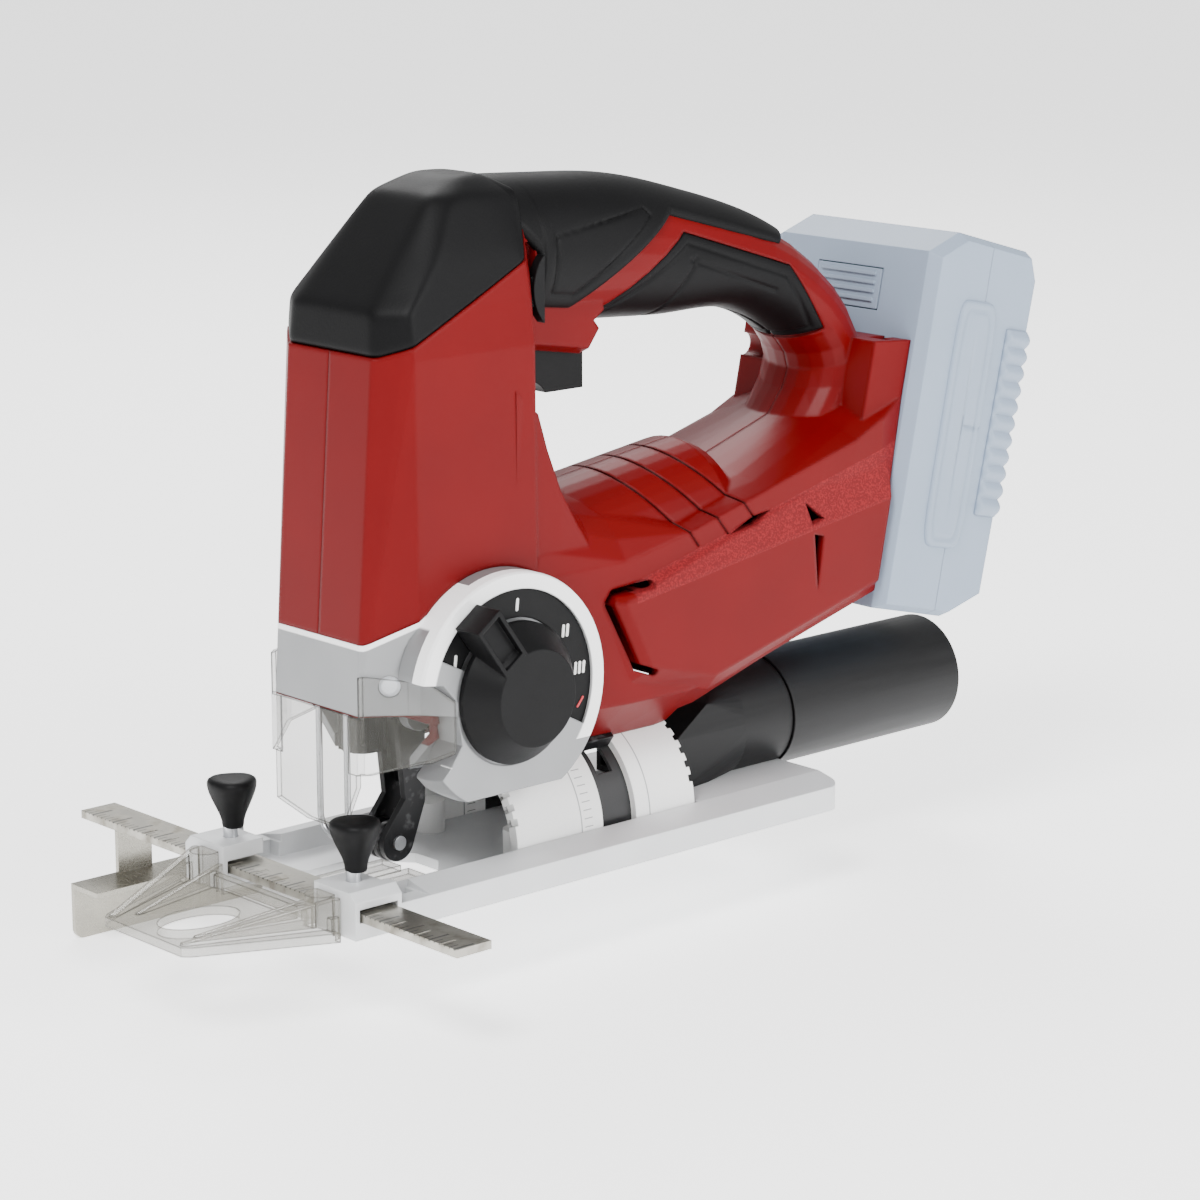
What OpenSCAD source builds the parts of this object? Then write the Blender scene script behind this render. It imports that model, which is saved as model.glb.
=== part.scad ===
// Cordless pendulum jigsaw. Forward is -X, the dial side is -Y, +Z is up,
// and the origin lies on the underside of the sole, at its middle.

/* [Sole] */
// Length of the sole with its front clamp blocks
sole_l = 182; // [170:1:195]
// Width of the sole
sole_w = 75; // [72:0.5:80]
// Thickness of the sole's floor
sole_floor_t = 3; // [2.4:0.1:3.4]
// Height of the sole's side rims
sole_rim_h = 7.2; // [6:0.1:7.6]
// Width of the sole's side rims
sole_rim_w = 6; // [4:0.5:7]
// Length of a front clamp block
block_l = 15.5; // [15:0.5:17]
// Width of a front clamp block
block_w = 17.5; // [15:0.5:18]
// Height of a front clamp block
block_h = 12.6; // [11.5:0.1:13.5]
// Greatest bevel angle to each side
bevel_max = 47; // [30:1:47]

/* [Parallel guide] */
// Width of the guide rail
rail_w = 11.5; // [8:0.5:11.5]
// Thickness of the guide rail
rail_t = 2.3; // [1.5:0.1:2.6]
// Reach of the rail past the middle on the dial side
rail_near = 76; // [60:1:90]
// Reach of the rail past the middle on the fence side
rail_far = 91; // [80:1:110]
// Length of the fence
fence_l = 66; // [50:1:72]
// How far the fence hangs below the sole
fence_drop = 24; // [16:1:28]

/* [Bevel drum] */
// Outer radius of the bevel drum
drum_r = 27; // [25:0.1:27.5]
// Wall of the bevel drum
drum_wall = 3; // [2.4:0.1:3.4]
// Length of the bevel drum
drum_l = 67; // [60:1:68]

/* [Body] */
// Half width of the head
head_hw = 28; // [27:0.1:28.6]
// Half width of the motor body
body_hw = 33; // [31.5:0.1:33.4]
// Wall thickness of the red shells
wall = 2.4; // [1.8:0.1:2.6]
// Thickness of the soft grips and the cap over the shell
grip_t = 1.8; // [1.2:0.1:2.2]
// Half width of the handle
handle_hw = 17.5; // [16:0.1:19]

/* [Drive] */
// Stroke of the plunger
stroke = 23; // [16:1:24]
// Gear tooth module
tooth_module = 0.8; // [0.6:0.05:0.8]
// Face width of the crank gear
gear_t = 8; // [5:0.5:8]
// Radius of the plunger rod
rod_r = 4; // [3.5:0.1:4.4]
// Radius of the motor can
motor_r = 19; // [17:0.5:19.5]
// Length of the motor can
motor_l = 52; // [46:1:54]

/* [Guide roller] */
// Radius of the guide roller
roller_r = 5.7; // [5:0.1:6]
// Width of the guide roller
roller_w = 6; // [5:0.1:6.4]
// Thickness of one fork cheek
cheek_t = 2; // [1.6:0.1:2.2]

/* [Dial] */
// Radius of the silver dial surround
ring_r = 32.5; // [31:0.5:33]
// Radius of the dial knob at its base
knob_r = 19.5; // [17:0.5:19.5]
// Height of the dial knob
knob_h = 9.5; // [7:0.5:12]

/* [Battery] */
// Length of the battery pack
pack_l = 112; // [112:1:118]
// Half width of the battery pack
pack_hw = 34; // [34:0.1:36]
// Depth of the battery pack behind the dock
pack_d = 47; // [47:0.5:50]
// Wall of the battery casing
pack_wall = 1.5; // [1.2:0.1:1.5]

/* [Dust spout] */
// Outer radius of the dust spout
spout_r = 17.5; // [16:0.5:17.5]
// Wall of the dust spout
spout_wall = 2; // [1.5:0.1:2.5]
// Length of the dust spout behind the sole
spout_l = 72; // [50:1:80]

/* [Hidden] */
$fn = 48;

gap = 0.3; // clearance between pieces that move past each other
fit = 0.05; // radial clearance of a running fit
seat = 0.05; // clearance of pieces that are assembled once
big = 400; // longer than anything it cuts

RED = [0.64, 0.13, 0.14];
BLACK = [0.1, 0.1, 0.11];
SILVER = [0.75, 0.75, 0.76];
STEEL = [0.6, 0.61, 0.63];
CLEAR = [0.88, 0.9, 0.92, 0.5];
PACK = [0.72, 0.76, 0.82];

// Inner face of the guard's wing on the dial side: x and half width at its bend and its end
wing_x = [-60.6, -55.2];
wing_y = [head_hw + 0.4, body_hw + 3.2];

// Bevel axis, along X just above the sole
bevel_z = 8;
sweep_r = norm([sole_w / 2, bevel_z]) + 2 * gap;

// Head: its flat front leans, and its chamfers end at one upright edge
face_hw = 17.5;
head_bottom = 50;
head_top = 148;
face_x_bottom = -74.2;
face_x_top = -67.3;
face_edge_x = -60.5;
head_back_x = -19;
head_back_hw = 14;
head_spine_x = -10;

lens_pos = [-66.6, -22.5, 61.5];
lens_r = 2.9;

// Motor body
motor_z = 82;
barrel_r = 27;
body_front_x = -55;

// Dock for the battery: its plane leans back
dock_lean = 12;
dock_x = 111;
dock_z = 63;
dock_hw = 28.8;
dock_h = 72.6;
hook_y0 = 18.6;
hook_y1 = 21.6;
hook_y2 = 25.2;
rail_block_d = 11;

// Dial on the left side
dial_x = -35;
dial_z = 57.2;
dial_face_y = -body_hw - 3.5;
dial_recess = 1.6;

// Drive train along X
gear_teeth = 52;
pinion_teeth = 8;
gear_tip_r = tooth_module * (gear_teeth / 2 + 1);
mesh_dist = tooth_module * (gear_teeth + pinion_teeth) / 2;
gear_z = motor_z + mesh_dist;
gear_x = -46;
gear_bore_r = 4;
crank_r = stroke / 2;
crank_pin_r = 2.4;
crank_roller_r = 3.2;
plunger_x = -58;
yoke_x = -55.6;
crank_pin_x = plunger_x + rod_r + 0.4;
yoke_t = 5.6;
yoke_slop = 2.5;
yoke_wall = 2.8;
yoke_hh = crank_roller_r + yoke_slop + yoke_wall;
yoke_hw = crank_r + crank_roller_r + gap + yoke_wall;
bush_r = 6.4;
bush_l = 10;
bush_top_z = gear_z + crank_r + yoke_hh + 2 * gap;
bush_low_z = motor_z - 5 - bush_l;
rod_top_z = bush_top_z + bush_l + 5.5;
rod_chamfer = 1.4;
wire_x = -68.3;
wire_y = 6;
wire_r = 0.9;
rod_low_z = 43;
clamp_r = 6.2;
clamp_low_z = 38;
clamp_h = bush_low_z - 2 * gap - crank_r - clamp_low_z;
shaft_r = 2.5;
frame_x = -34;
frame_t = 6;
frame_hw = 25;

// Motor along X
motor_x = 10.5;
fan_x = -6;
fan_t = 9;

// Fork and roller
roller_x = -50.3;
roller_z = 5.5 + roller_r;
roller_pin_r = 2;
fork_pivot_x = -45.5;
fork_pivot_z = 48;
fork_pin_r = 2.5;
fork_hub_r = 5;
fork_hw = roller_w / 2 + gap + cheek_t;
cam_r = 4.2;
cam_gap = 1;

// Handle openings
trigger_hw = 7;
trigger_x0 = -3;
trigger_x1 = 16;
trigger_z0 = 130;
trigger_z1 = 152;
lock_x0 = -14.4;
lock_x1 = -10.6;
lock_y = 21.5;

// Sole details
block_x0 = -sole_l / 2;
rail_x = block_x0 + block_l / 2;
rail_z = 4.7;
screw_y = 27;
screw_r = 2;
block_bevel = 2.5; // bevel of a clamp block's outer top edge, which swings up past the guard
slot_hw = 12;
slot_x1 = -36;
drum_x0 = -26;
saddle_x0 = 6;
saddle_x1 = 18;
saddle_half = 84.5 - bevel_max; // degrees each side of upright, clear of the tilted sole
crown_z = 9.4;
duct_x0 = drum_x0 + drum_l + 2;
spout_z = 5 + spout_r;
spout_x0 = sole_l / 2;
sleeve_l = 13; // length of the duct's sleeve inside the spout
sleeve_r = spout_r - spout_wall + 0.05;
hose_bore_r = spout_r - spout_wall - 0.25;

// Plan outline of a head section, with the front face at xf
function head_plan(xf, xs, hf, hw, xr, hr, xb) = [
    [xf, -hf], [xf, hf], [xs, hw], [xr, hw], [xb, hr], [xb, -hr], [xr, -hw], [xs, -hw]
];

// Section of the motor body: a V below, flat sides and a round roof
function roof_r(hw, s) = (hw * hw + s * s) / (2 * s);
function body_section(hw, vb, zv, zb, zr, zt, n = 10) = let (
    s = zt - zr,
    r = roof_r(hw, s),
    a = asin(min(1, hw / r))
) concat(
    [[-vb, zv], [vb, zv], [hw, zb]],
    [for (i = [0:n]) let (t = a - i * 2 * a / n) [r * sin(t), zt - r + r * cos(t)]],
    [[-hw, zb]]
);

// Teeth with straight flanks, narrowed by a small backlash
function gear_outline(teeth, m) = let (
    rp = teeth * m / 2,
    ro = rp + 0.9 * m,
    rr = rp - 1.2 * m,
    p = 360 / teeth
) [
    for (i = [0:teeth - 1]) for (k = [[-0.32, rr], [-0.11, ro], [0.11, ro], [0.32, rr]])
        [k[1] * cos((i + k[0]) * p), k[1] * sin((i + k[0]) * p)]
];

module along_y(y0, y1) {
    translate([0, y1, 0]) rotate([90, 0, 0]) linear_extrude(y1 - y0) children();
}

module along_x(x0, x1) {
    translate([x0, 0, 0]) rotate([90, 0, 90]) linear_extrude(x1 - x0) children();
}

module block(lo, hi) {
    translate(lo) cube(hi - lo);
}

module slab(z, outline, c) {
    translate([0, 0, z]) linear_extrude(0.02) offset(delta = -c) polygon(outline);
}

module section_at(x, outline, c) {
    along_x(x, x + 0.02) offset(delta = -c) polygon(outline);
}

// Places its children in the battery's leaning frame
module in_dock() {
    translate([dock_x, 0, dock_z]) rotate([0, dock_lean, 0]) children();
}

// Whole head with the cap, every face moved inwards by c
module head_form(c) {
    hull() {
        slab(head_bottom + c, head_plan(face_x_bottom, face_edge_x, face_hw, head_hw,
            head_back_x, head_back_hw, head_spine_x), c);
        slab(head_top, head_plan(face_x_top, face_edge_x, face_hw, head_hw - 1,
            head_back_x, head_back_hw, head_spine_x), c);
        slab(160 - c / 2, head_plan(-66.4, -61, face_hw - 0.8, head_hw - 2.5,
            head_back_x, head_back_hw, head_spine_x), c);
        slab(188 - c, head_plan(-43, -38, 13, 16, -24, 14, -14), c);
        slab(192.6 - c, head_plan(-33, -31, 8, 10, -26, 8, -21), c);
        slab(172 - c, head_plan(-56, -50, 16, 23, head_back_x, head_back_hw, head_spine_x), c);
    }
}

// Sections of the body's lower part from front to rear: x, then the section's sizes
BODY = [
    [body_front_x, head_hw - 1, 12, 31, 46, 84, 100],
    [-20, body_hw - 4.6, 12, 30, 45, 84, 108],
    [12, body_hw - 3.5, 12, 28, 44, 84.5, 102],
    [36, body_hw - 3, 12, 28, 44, 89.5, 95],
    [66, body_hw - 3, 15, 43, 49, 97.4, 102],
    [102, body_hw - 2.5, 20, 55, 59, 107.4, 114],
    [113, body_hw - 2.5, 20, 59, 62, 112.5, 120]
];

// Sections of the curve between the head's back and the motor barrel
NECK = [
    [-26, 27.4, 12, 60, 70, 136, 140],
    [-17.6, 26.6, 12, 60, 70, 129, 134],
    [-14.4, 26.6, 12, 60, 70, 119, 125],
    [-9.6, 26.6, 12, 60, 70, 107, 114],
    [-3, 26.4, 12, 60, 70, 96, 107.5],
    [5, 26.2, 12, 60, 70, 84, 103.2]
];

module body_step(a, b, c) {
    n = c > 0 ? 4 : 10;
    hull() {
        section_at(a[0], body_section(a[1], a[2], a[3], a[4], a[5], a[6], n), c);
        section_at(b[0], body_section(b[1], b[2], b[3], b[4], b[5], b[6], n), c);
    }
}

module body_form(c) {
    for (i = [0:len(BODY) - 2]) body_step(BODY[i], BODY[i + 1], c);
    for (i = [0:len(NECK) - 2]) body_step(NECK[i], NECK[i + 1], c);
    last = BODY[len(BODY) - 1];
    hull() {
        section_at(last[0], body_section(last[1], last[2], last[3], last[4], last[5], last[6], 6), c);
        in_dock() block([-0.1 - c, -dock_hw + c, c], [-c, dock_hw - c, 56]);
    }
    in_dock() hull() {
        block([-0.1 - c, -dock_hw + c, 20], [-c, dock_hw - c, dock_h - c]);
        block([-13 + c, -dock_hw + 2 + c, 20], [-12.9 + c, dock_hw - 2 - c, dock_h - 2 - c]);
    }
    barrel_form(c);
    side_panel(c);
}

// Round barrel over the motor, rising to a rounded rear end
module barrel_form(c) {
    hull() for (b = [[-8, 75, 26], [56, 83.2, barrel_r], [61.5, 83.4, barrel_r - 2.4],
        [66.5, 84, barrel_r - 8]])
        translate([b[0], 0, b[1]]) rotate([0, 90, 0]) cylinder(r = b[2] - c, h = 0.02, $fn = c > 0 ? 24 : 48);
}

// Raised panel on each side, with a wide bevel along its upper edge
module side_panel(c) {
    for (s = [-1, 1]) hull() {
        along_y(min(s * (body_hw - 0.02), s * body_hw) - s * c,
            max(s * (body_hw - 0.02), s * body_hw) - s * c)
            offset(delta = -c) polygon([[9, 73.7], [30, 74.7], [81, 83.4], [114.5, 89.4], [109.6, 65],
                [76, 56.5], [43.5, 47.5], [18.7, 54]]);
        along_y(min(s * 20, s * (body_hw - 4)), max(s * 20, s * (body_hw - 4)))
            offset(delta = -c) polygon([[3, 74], [14.5, 78.6], [53, 87.6], [79.6, 93.6], [116.6, 104.4],
                [109.8, 61], [76, 52.5], [43.5, 42.5], [13, 49.5]]);
    }
}

// Handle stations: x, z, tilt, half height
HANDLE = [
    [-26, 170.5, 0, 19.5],
    [0, 168.8, 0, 20],
    [26, 167.3, 6, 19.6],
    [50, 163.8, 12, 17.6],
    [80, 158, 29, 13.6],
    [103.5, 144.5, 54, 11.8],
    [114, 128, 73, 10.6],
    [107, 111, 84, 13.4]
];

// Value at t between p1 and p2 on a smooth curve through all four
function curve(p0, p1, p2, p3, t) = 0.5 * (2 * p1 + (p2 - p0) * t
    + (2 * p0 - 5 * p1 + 4 * p2 - p3) * t * t + (3 * p1 - p0 - 3 * p2 + p3) * t * t * t);

function smoothed(S, steps) = let (n = len(S)) concat(
    [for (i = [0:n - 2]) for (k = [0:steps - 1])
        curve(S[max(0, i - 1)], S[i], S[i + 1], S[min(n - 1, i + 2)], k / steps)],
    [S[n - 1]]
);

function handle_ring(s, c, n) = [
    for (i = [0:n - 1]) let (u = (s[3] - c) * cos(360 * i / n), w = (handle_hw - c) * sin(360 * i / n))
        [s[0] + u * sin(s[2]), w, s[1] + u * cos(s[2])]
];

// Closed solid through rings that all have the same number of points
module loft(rings) {
    n = len(rings[0]);
    m = len(rings);
    polyhedron(
        points = [for (r = rings) for (p = r) p],
        faces = concat(
            [[for (i = [n - 1:-1:0]) i]],
            [[for (i = [0:n - 1]) (m - 1) * n + i]],
            [for (j = [0:m - 2]) for (i = [0:n - 1]) [j * n + i, (j + 1) * n + (i + 1) % n, (j + 1) * n + i]],
            [for (j = [0:m - 2]) for (i = [0:n - 1])
                [j * n + i, j * n + (i + 1) % n, (j + 1) * n + (i + 1) % n]]
        )
    );
}

module handle_form(c) {
    loft([for (s = smoothed(HANDLE, c > 0 ? 1 : 3)) handle_ring(s, c, c > 0 ? 14 : 24)]);
    hull() {
        along_y(-13 + c, 13 - c) offset(delta = -c)
            polygon([[-18, 147], [7, 143.5], [13, 142], [19, 150], [16, 165], [-18, 165]]);
        along_y(-9 + c, 9 - c) offset(delta = -c) polygon([[-18, 145], [7, 141.5], [13, 140], [21, 150],
            [18, 165], [-18, 165]]);
    }
}

// Room that the sole needs to tilt either way under the body
module tilt_room() {
    top = 60;
    rise = crown_z - bevel_z + 2 * gap;
    translate([0, 0, bevel_z]) {
        along_x(-big, big) difference() {
            circle(sweep_r, $fn = 48);
            polygon([[0, rise], [top, rise + top * tan(bevel_max)], [-top, rise + top * tan(bevel_max)]]);
        }
        along_x(drum_x0 - gap, drum_x0 + drum_l + gap) circle(drum_r + gap, $fn = 48);
        along_x(drum_x0 + drum_l, big) circle(sweep_r - 5, $fn = 48);
    }
}

// Room for the blade, its clamp and the roller fork
module blade_room() {
    block([-big, -face_hw + 1.5, -big], [-52, face_hw - 1.5, 53]);
    block([face_x_bottom + wall + 1.6, -face_hw + 1.5, 50], [-52, face_hw - 1.5, bush_low_z - 5]);
    translate([plunger_x, 0, -1]) cylinder(r = clamp_r + 1.8, h = bush_low_z + 0.7);
    block([-64, -fork_hw - 1.2, -1], [-37, fork_hw + 1.2, fork_pivot_z + fork_hub_r + 1]);
    block([-64, -17, -1], [-22, 17, 34]);
    translate(lens_pos) rotate([0, 90, 50]) cylinder(r = lens_r + seat, h = 12, center = true);
}

// Side outline of the silver nose cover, and its share of the dial surround
module nose_outline() {
    polygon([[-90, 53.6], [-90, 72.6], [-72, 72.6], [-60.5, 78.8], [-48, 86], [-30, 80], [-20, 32],
        [-44, 29.8], [-54, 29.8], [-62, 33.5], [-56.5, 40], [-56.5, 53.6]]);
}

module dial_disc(r, y0, y1) {
    translate([dial_x, 0, dial_z]) along_y(y0, y1) circle(r, $fn = 72);
}

// Lower left of the dial, where the red shell shows between the guard and the silver foot
module red_wedge(c) {
    along_y(-big, -14) offset(delta = c)
        polygon([[-90, 18], [-64, 33.5], [-57.4, 39.9], [-53.4, 45.6], [-54.6, 53.6], [-90, 53.6]]);
}

module nose_region(c) {
    difference() {
        union() {
            along_y(-big, 0) offset(delta = c) nose_outline();
            dial_disc(ring_r + c, -big, -20);
        }
        red_wedge(-c);
    }
    along_y(0, big) offset(delta = c) polygon([[-90, 53.6], [-90, 72.6], [-72, 72.6],
        [-60.5, 78.8], [-44, 80], [-32, 66], [-30, 30], [-62, 30], [-56.5, 40], [-56.5, 53.6]]);
}

// Outlines of the soft covers, seen from the side
module cap_region(c) {
    along_y(-big, big) offset(delta = c)
        polygon([[-90, 148.4], [-66, 148.4], [-60.5, 151.2], [-18.8, 170.2], [-14.5, 178], [-14.5, 230],
            [-90, 230]]);
}

module grip_top_region(c) {
    along_y(-big, big) offset(delta = c)
        polygon([[-14.5, 178], [-8, 171], [-7, 156.5], [5, 155], [13, 160], [42, 177.5], [86, 165.5],
            [110, 172], [110, 230], [-14.5, 230]]);
}

module grip_low_region(c) {
    along_y(-big, big) offset(delta = c)
        polygon([[15, 149.5], [19, 144.5], [26, 130], [60, 130], [84, 117], [91, 129.5], [103, 138.5],
            [87.5, 158.5],
            [46, 171.5]]);
}

// Everything the shells enclose, with the soft covers still on
module outer_form(c) {
    head_form(c);
    body_form(c);
    handle_form(c);
}

// Screw bosses of the two shells: x, z
boss_screw_r = 1.5;
BOSSES = [[-24, 152], [60, 163], [84, 64], [-4, 51], [112, 128], [30, 52]];

module boss_posts(r, y0, y1) {
    for (b = BOSSES) translate([b[0], 0, b[1]]) along_y(y0, y1) circle(r, $fn = 24);
}

// Ribs inside the shells that carry the motor, the frame, the switch and the board
module shell_ribs() {
    for (x = [motor_x + 6, motor_x + motor_l - 6]) difference() {
        block([x - 1.2, -body_hw + wall, 50], [x + 1.2, body_hw - wall, 112]);
        translate([0, 0, motor_z]) along_x(-big, big) circle(motor_r + seat);
    }
    for (x = [2, 24]) difference() {
        block([x, -handle_hw + 2, 152], [x + 2, handle_hw - 2, 184]);
        block([-20, -9 - seat, 100], [60, 9 + seat, 178 + seat]);
    }
    for (x = [68, 90]) block([x, 9.8 + seat, 72], [x + 3, body_hw - wall, 98]);
}

// Dock slots that take the two rail hooks of the battery
module dock_slot(c) {
    for (s = [0, 1]) mirror([0, s, 0]) in_dock() {
        block([-4.2 - c, hook_y0 - c, 1], [1, hook_y1 + c, 200]);
        block([-rail_block_d + 4 - c, hook_y0 - c, 1], [-4.2 + c, hook_y2 + c, 200]);
    }
}

// Band of width w along a line of points
module band(points, w) {
    for (i = [0:len(points) - 2]) hull() {
        translate(points[i]) circle(w / 2, $fn = 8);
        translate(points[i + 1]) circle(w / 2, $fn = 8);
    }
}

// Three slanting grooves across the barrel
module barrel_grooves() {
    depth = 0.8;
    difference() {
        for (x = [12, 24, 36]) along_y(-30, 30) band([[x, 120], [x + 27, 84 + x / 10]], 0.7);
        barrel_form(depth);
        body_form(depth);
    }
}

// Vents and the gaps round the side panel, cut through both shells
module side_vents() {
    for (s = [0, 1]) mirror([0, s, 0]) along_y(-big, -body_hw + 14) {
        band([[19.6, 77.4], [7, 76.4], [5, 73.6], [14.6, 54.4], [20.4, 52.2]], 2.2);
        polygon([[50.8, 86.6], [60.2, 90.6], [67.6, 91.6], [61, 88.2]]);
        polygon([[80.6, 92], [87, 86.6], [82, 85.4]]);
        polygon([[82.6, 82.6], [86.4, 81.6], [84.2, 66]]);
    }
}

// One red shell: side -1 is the dial side, +1 the screw side
module shell(side) {
    difference() {
        intersection() {
            union() {
                difference() {
                    outer_form(0);
                    shell_room();
                }
                intersection() {
                    union() {
                        boss_posts(4, -body_hw, body_hw);
                        shell_ribs();
                        in_dock() block([-rail_block_d + 1, -dock_hw, 0], [-0.2, dock_hw, dock_h]);
                    }
                    outer_form(grip_t + 0.1);
                }
            }
            if (side < 0) along_y(-big, -seat / 2) square(2 * big, center = true);
            else along_y(seat / 2, big) square(2 * big, center = true);
        }
        tilt_room();
        blade_room();
        drive_room();
        dock_slot(gap);
        in_dock() block([-4 - seat, -13 - seat, 1.3 - seat], [1, 13 + seat, 9 + seat]);
        in_dock() block([-seat, -60, -40], [60, 60, 140]);
        block([-big, -big, -big], [-56.5, big, 53.3]);
        saddle_room();
        barrel_grooves();
        side_vents();
        cap_seat();
        grip_seats();
        nose_seat();
        trigger_room();
        lock_room();
        boss_holes(side);
        dial_disc(6.5, -body_hw, -20);
    }
}

// The hollow inside the shells, shallower where a soft cover lies over them
module shell_room() {
    difference() {
        union() {
            head_form(wall + 0.4);
            difference() {
                body_form(wall);
                in_dock() block([-rail_block_d + 1, -60, -20], [60, 60, 120]);
            }
        }
        cap_region(0.4);
    }
    head_form(wall + grip_t + 0.6);
    handle_form(wall + grip_t);
}

module cap_seat() {
    intersection() {
        cap_region(seat);
        difference() {
            head_form(-1);
            head_form(grip_t + seat);
        }
    }
}

module grip_seats() {
    intersection() {
        union() {
            grip_top_region(seat);
            grip_low_region(seat);
        }
        difference() {
            handle_form(-8);
            handle_form(grip_t + seat);
        }
    }
}

module nose_seat() {
    intersection() {
        nose_region(seat);
        difference() {
            outer_form(-6);
            outer_form(wall + seat);
        }
    }
}

// Room for the gear frame and what turns in it
module drive_room() {
    block([plunger_x - bush_r - 2.4, -14, bush_low_z - 0.5], [frame_x, 14, bush_top_z + bush_l + 0.5]);
    block([frame_x - 14, -frame_hw, motor_z - 6], [frame_x + frame_t, frame_hw, gear_z + 24]);
}

module saddle_room() {
    along_x(saddle_x0 - seat, saddle_x1 + seat) translate([0, bevel_z]) circle(drum_r + 2.5, $fn = 72);
    translate([(saddle_x0 + saddle_x1) / 2, 0, bevel_z]) cylinder(r = 2.5 + seat, h = drum_r + 14);
}

module trigger_room() {
    block([trigger_x0 - gap, -trigger_hw - gap, 128], [trigger_x1 + gap, trigger_hw + gap, trigger_z1 + 7]);
}

module lock_room() {
    block([lock_x0 - gap, -big, 156], [lock_x1 + gap, big, 166]);
    for (s = [0, 1]) mirror([0, s, 0]) block([lock_x0 - gap, 14.6, 149.6], [lock_x1 + gap, big, 174]);
}

module boss_holes(side) {
    for (b = BOSSES) translate([b[0], 0, b[1]]) along_y(boss_tip_y(b) - 0.5, big)
        circle(boss_screw_r + (side < 0 ? seat : 0.2), $fn = 24);
    if (side > 0) for (b = BOSSES) translate([b[0], 0, b[1]]) along_y(boss_head_y(b), big)
        circle(3.4, $fn = 24);
}

// Depth of a screw's counterbore in the right shell
function boss_head_y(b) = b[1] > 120 ? handle_hw - 7 : body_hw - 14;
function boss_tip_y(b) = b[1] > 120 ? -10 : -20;

module housing_left() {
    color(RED) shell(-1);
}

module housing_right() {
    color(RED) shell(1);
}

module head_cap() {
    color(BLACK) intersection() {
        cap_region(0);
        difference() {
            head_form(0);
            head_form(grip_t);
            block([-20, -20, 100], [0, 20, 180]);
        }
    }
}

module handle_skin() {
    difference() {
        handle_form(0);
        handle_form(grip_t);
        trigger_room();
        lock_room();
    }
}

module handle_grip_top() {
    color(BLACK) difference() {
        intersection() {
            grip_top_region(0);
            handle_skin();
        }
        head_form(seat);
    }
}

module handle_grip_left() {
    color(BLACK) intersection() {
        grip_low_region(0);
        handle_skin();
        along_y(-big, -seat) square(2 * big, center = true);
    }
}

module handle_grip_right() {
    color(BLACK) intersection() {
        grip_low_region(0);
        handle_skin();
        along_y(seat, big) square(2 * big, center = true);
    }
}

// Silver nose: the shell's wall round the chip guard, with the raised dial surround
module nose_cover() {
    color(SILVER) difference() {
        union() {
            intersection() {
                nose_region(0);
                difference() {
                    outer_form(0);
                    outer_form(wall);
                }
            }
            dial_boss(0);
        }
        intersection() {
            dial_disc(ring_r - 4.5, -big, dial_face_y + dial_recess);
            along_y(-big, 0) dial_sector();
        }
        dial_disc(knob_r + 0.6, -big, dial_face_y + 0.2);
        outer_core();
        dial_disc(cam_r + fit, -big, 0);
        tilt_room();
        blade_room();
    }
}

// Space that the cover must leave to the shells
module outer_core() {
    intersection() {
        outer_form(wall);
        block([-100, -body_hw + 6, 0], [20, 60, 120]);
    }
}

// Raised ring round the dial, with a shoulder that runs to the nose
module dial_boss(c) {
    intersection() {
        hull() {
            dial_disc(ring_r - 0.4 + c, dial_face_y, dial_face_y + 1);
            dial_disc(ring_r + c, dial_face_y + 1, -body_hw + 7);
            along_y(-27.6 - c, -26) offset(delta = c)
                polygon([[-59.6, 33], [-59.6, 78], [-48, 84], [-36, 80], [-36, 33]]);
        }
        difference() {
            block([-70, -big, 29.8], [big, 0, 100]);
            red_wedge(-c);
            wing_room(0.5 - c, 0.3 - c);
        }
    }
}

// Side outline of the guard's wing on the dial side
module wing_outline() {
    polygon([[-80, 37.4], [-72, 37.6], [-60, 41], [-54.4, 45.4], [-54.4, 56.4], [-60, 62.6], [-72, 64.5],
        [-80, 64.5]]);
}

// Pocket in the dial surround that the wing lies in, grown by a sideways and by b inwards
module wing_room(a, b) {
    intersection() {
        along_y(-big, 0) offset(delta = a) wing_outline();
        linear_extrude(big) polygon([[-90, -face_hw], [face_x_bottom + 1.5, -face_hw - 1.5 + b],
            [wing_x[0], -wing_y[0] + b],
            [wing_x[1] + b, -wing_y[1] + b / 2], [wing_x[1] + b, -big], [-90, -big]]);
    }
}

// Sector of the dial that carries the marks
module dial_sector() {
    translate([dial_x, dial_z]) polygon([[0, 0], [-60, 30], [-60, 60], [60, 60], [60, -32]]);
}

// Black sector behind the dial knob
module dial_plate() {
    color(BLACK) translate([dial_x, 0, dial_z]) difference() {
        along_y(dial_face_y + dial_recess - 0.8, dial_face_y + dial_recess) intersection() {
            circle(ring_r - 4.5 - seat, $fn = 72);
            offset(delta = -seat) translate([-dial_x, -dial_z]) dial_sector();
        }
        along_y(-big, 0) circle(knob_r + 0.6, $fn = 72);
    }
}

// Domed lens, flush with the chamfer of the nose
module led_lens() {
    color([0.95, 0.96, 1]) translate(lens_pos) rotate([0, 90, 50]) {
        translate([0, 0, 0.4]) cylinder(r = lens_r, h = 4.2);
        translate([0, 0, 0.2]) cylinder(r1 = lens_r - 0.8, r2 = lens_r, h = 0.3);
    }
}

// Bent steel wire in front of the blade
module wire_guard() {
    bend_z = 15.5 + wire_y;
    color(STEEL) translate([wire_x, 0, bend_z]) {
        for (s = [-1, 1]) translate([0, s * wire_y, 0])
            cylinder(r = wire_r, h = bush_low_z + 5 - bend_z, $fn = 24);
        rotate([-90, 0, 90]) rotate_extrude(angle = 180) translate([wire_y, 0]) circle(wire_r, $fn = 24);
    }
}

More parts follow.
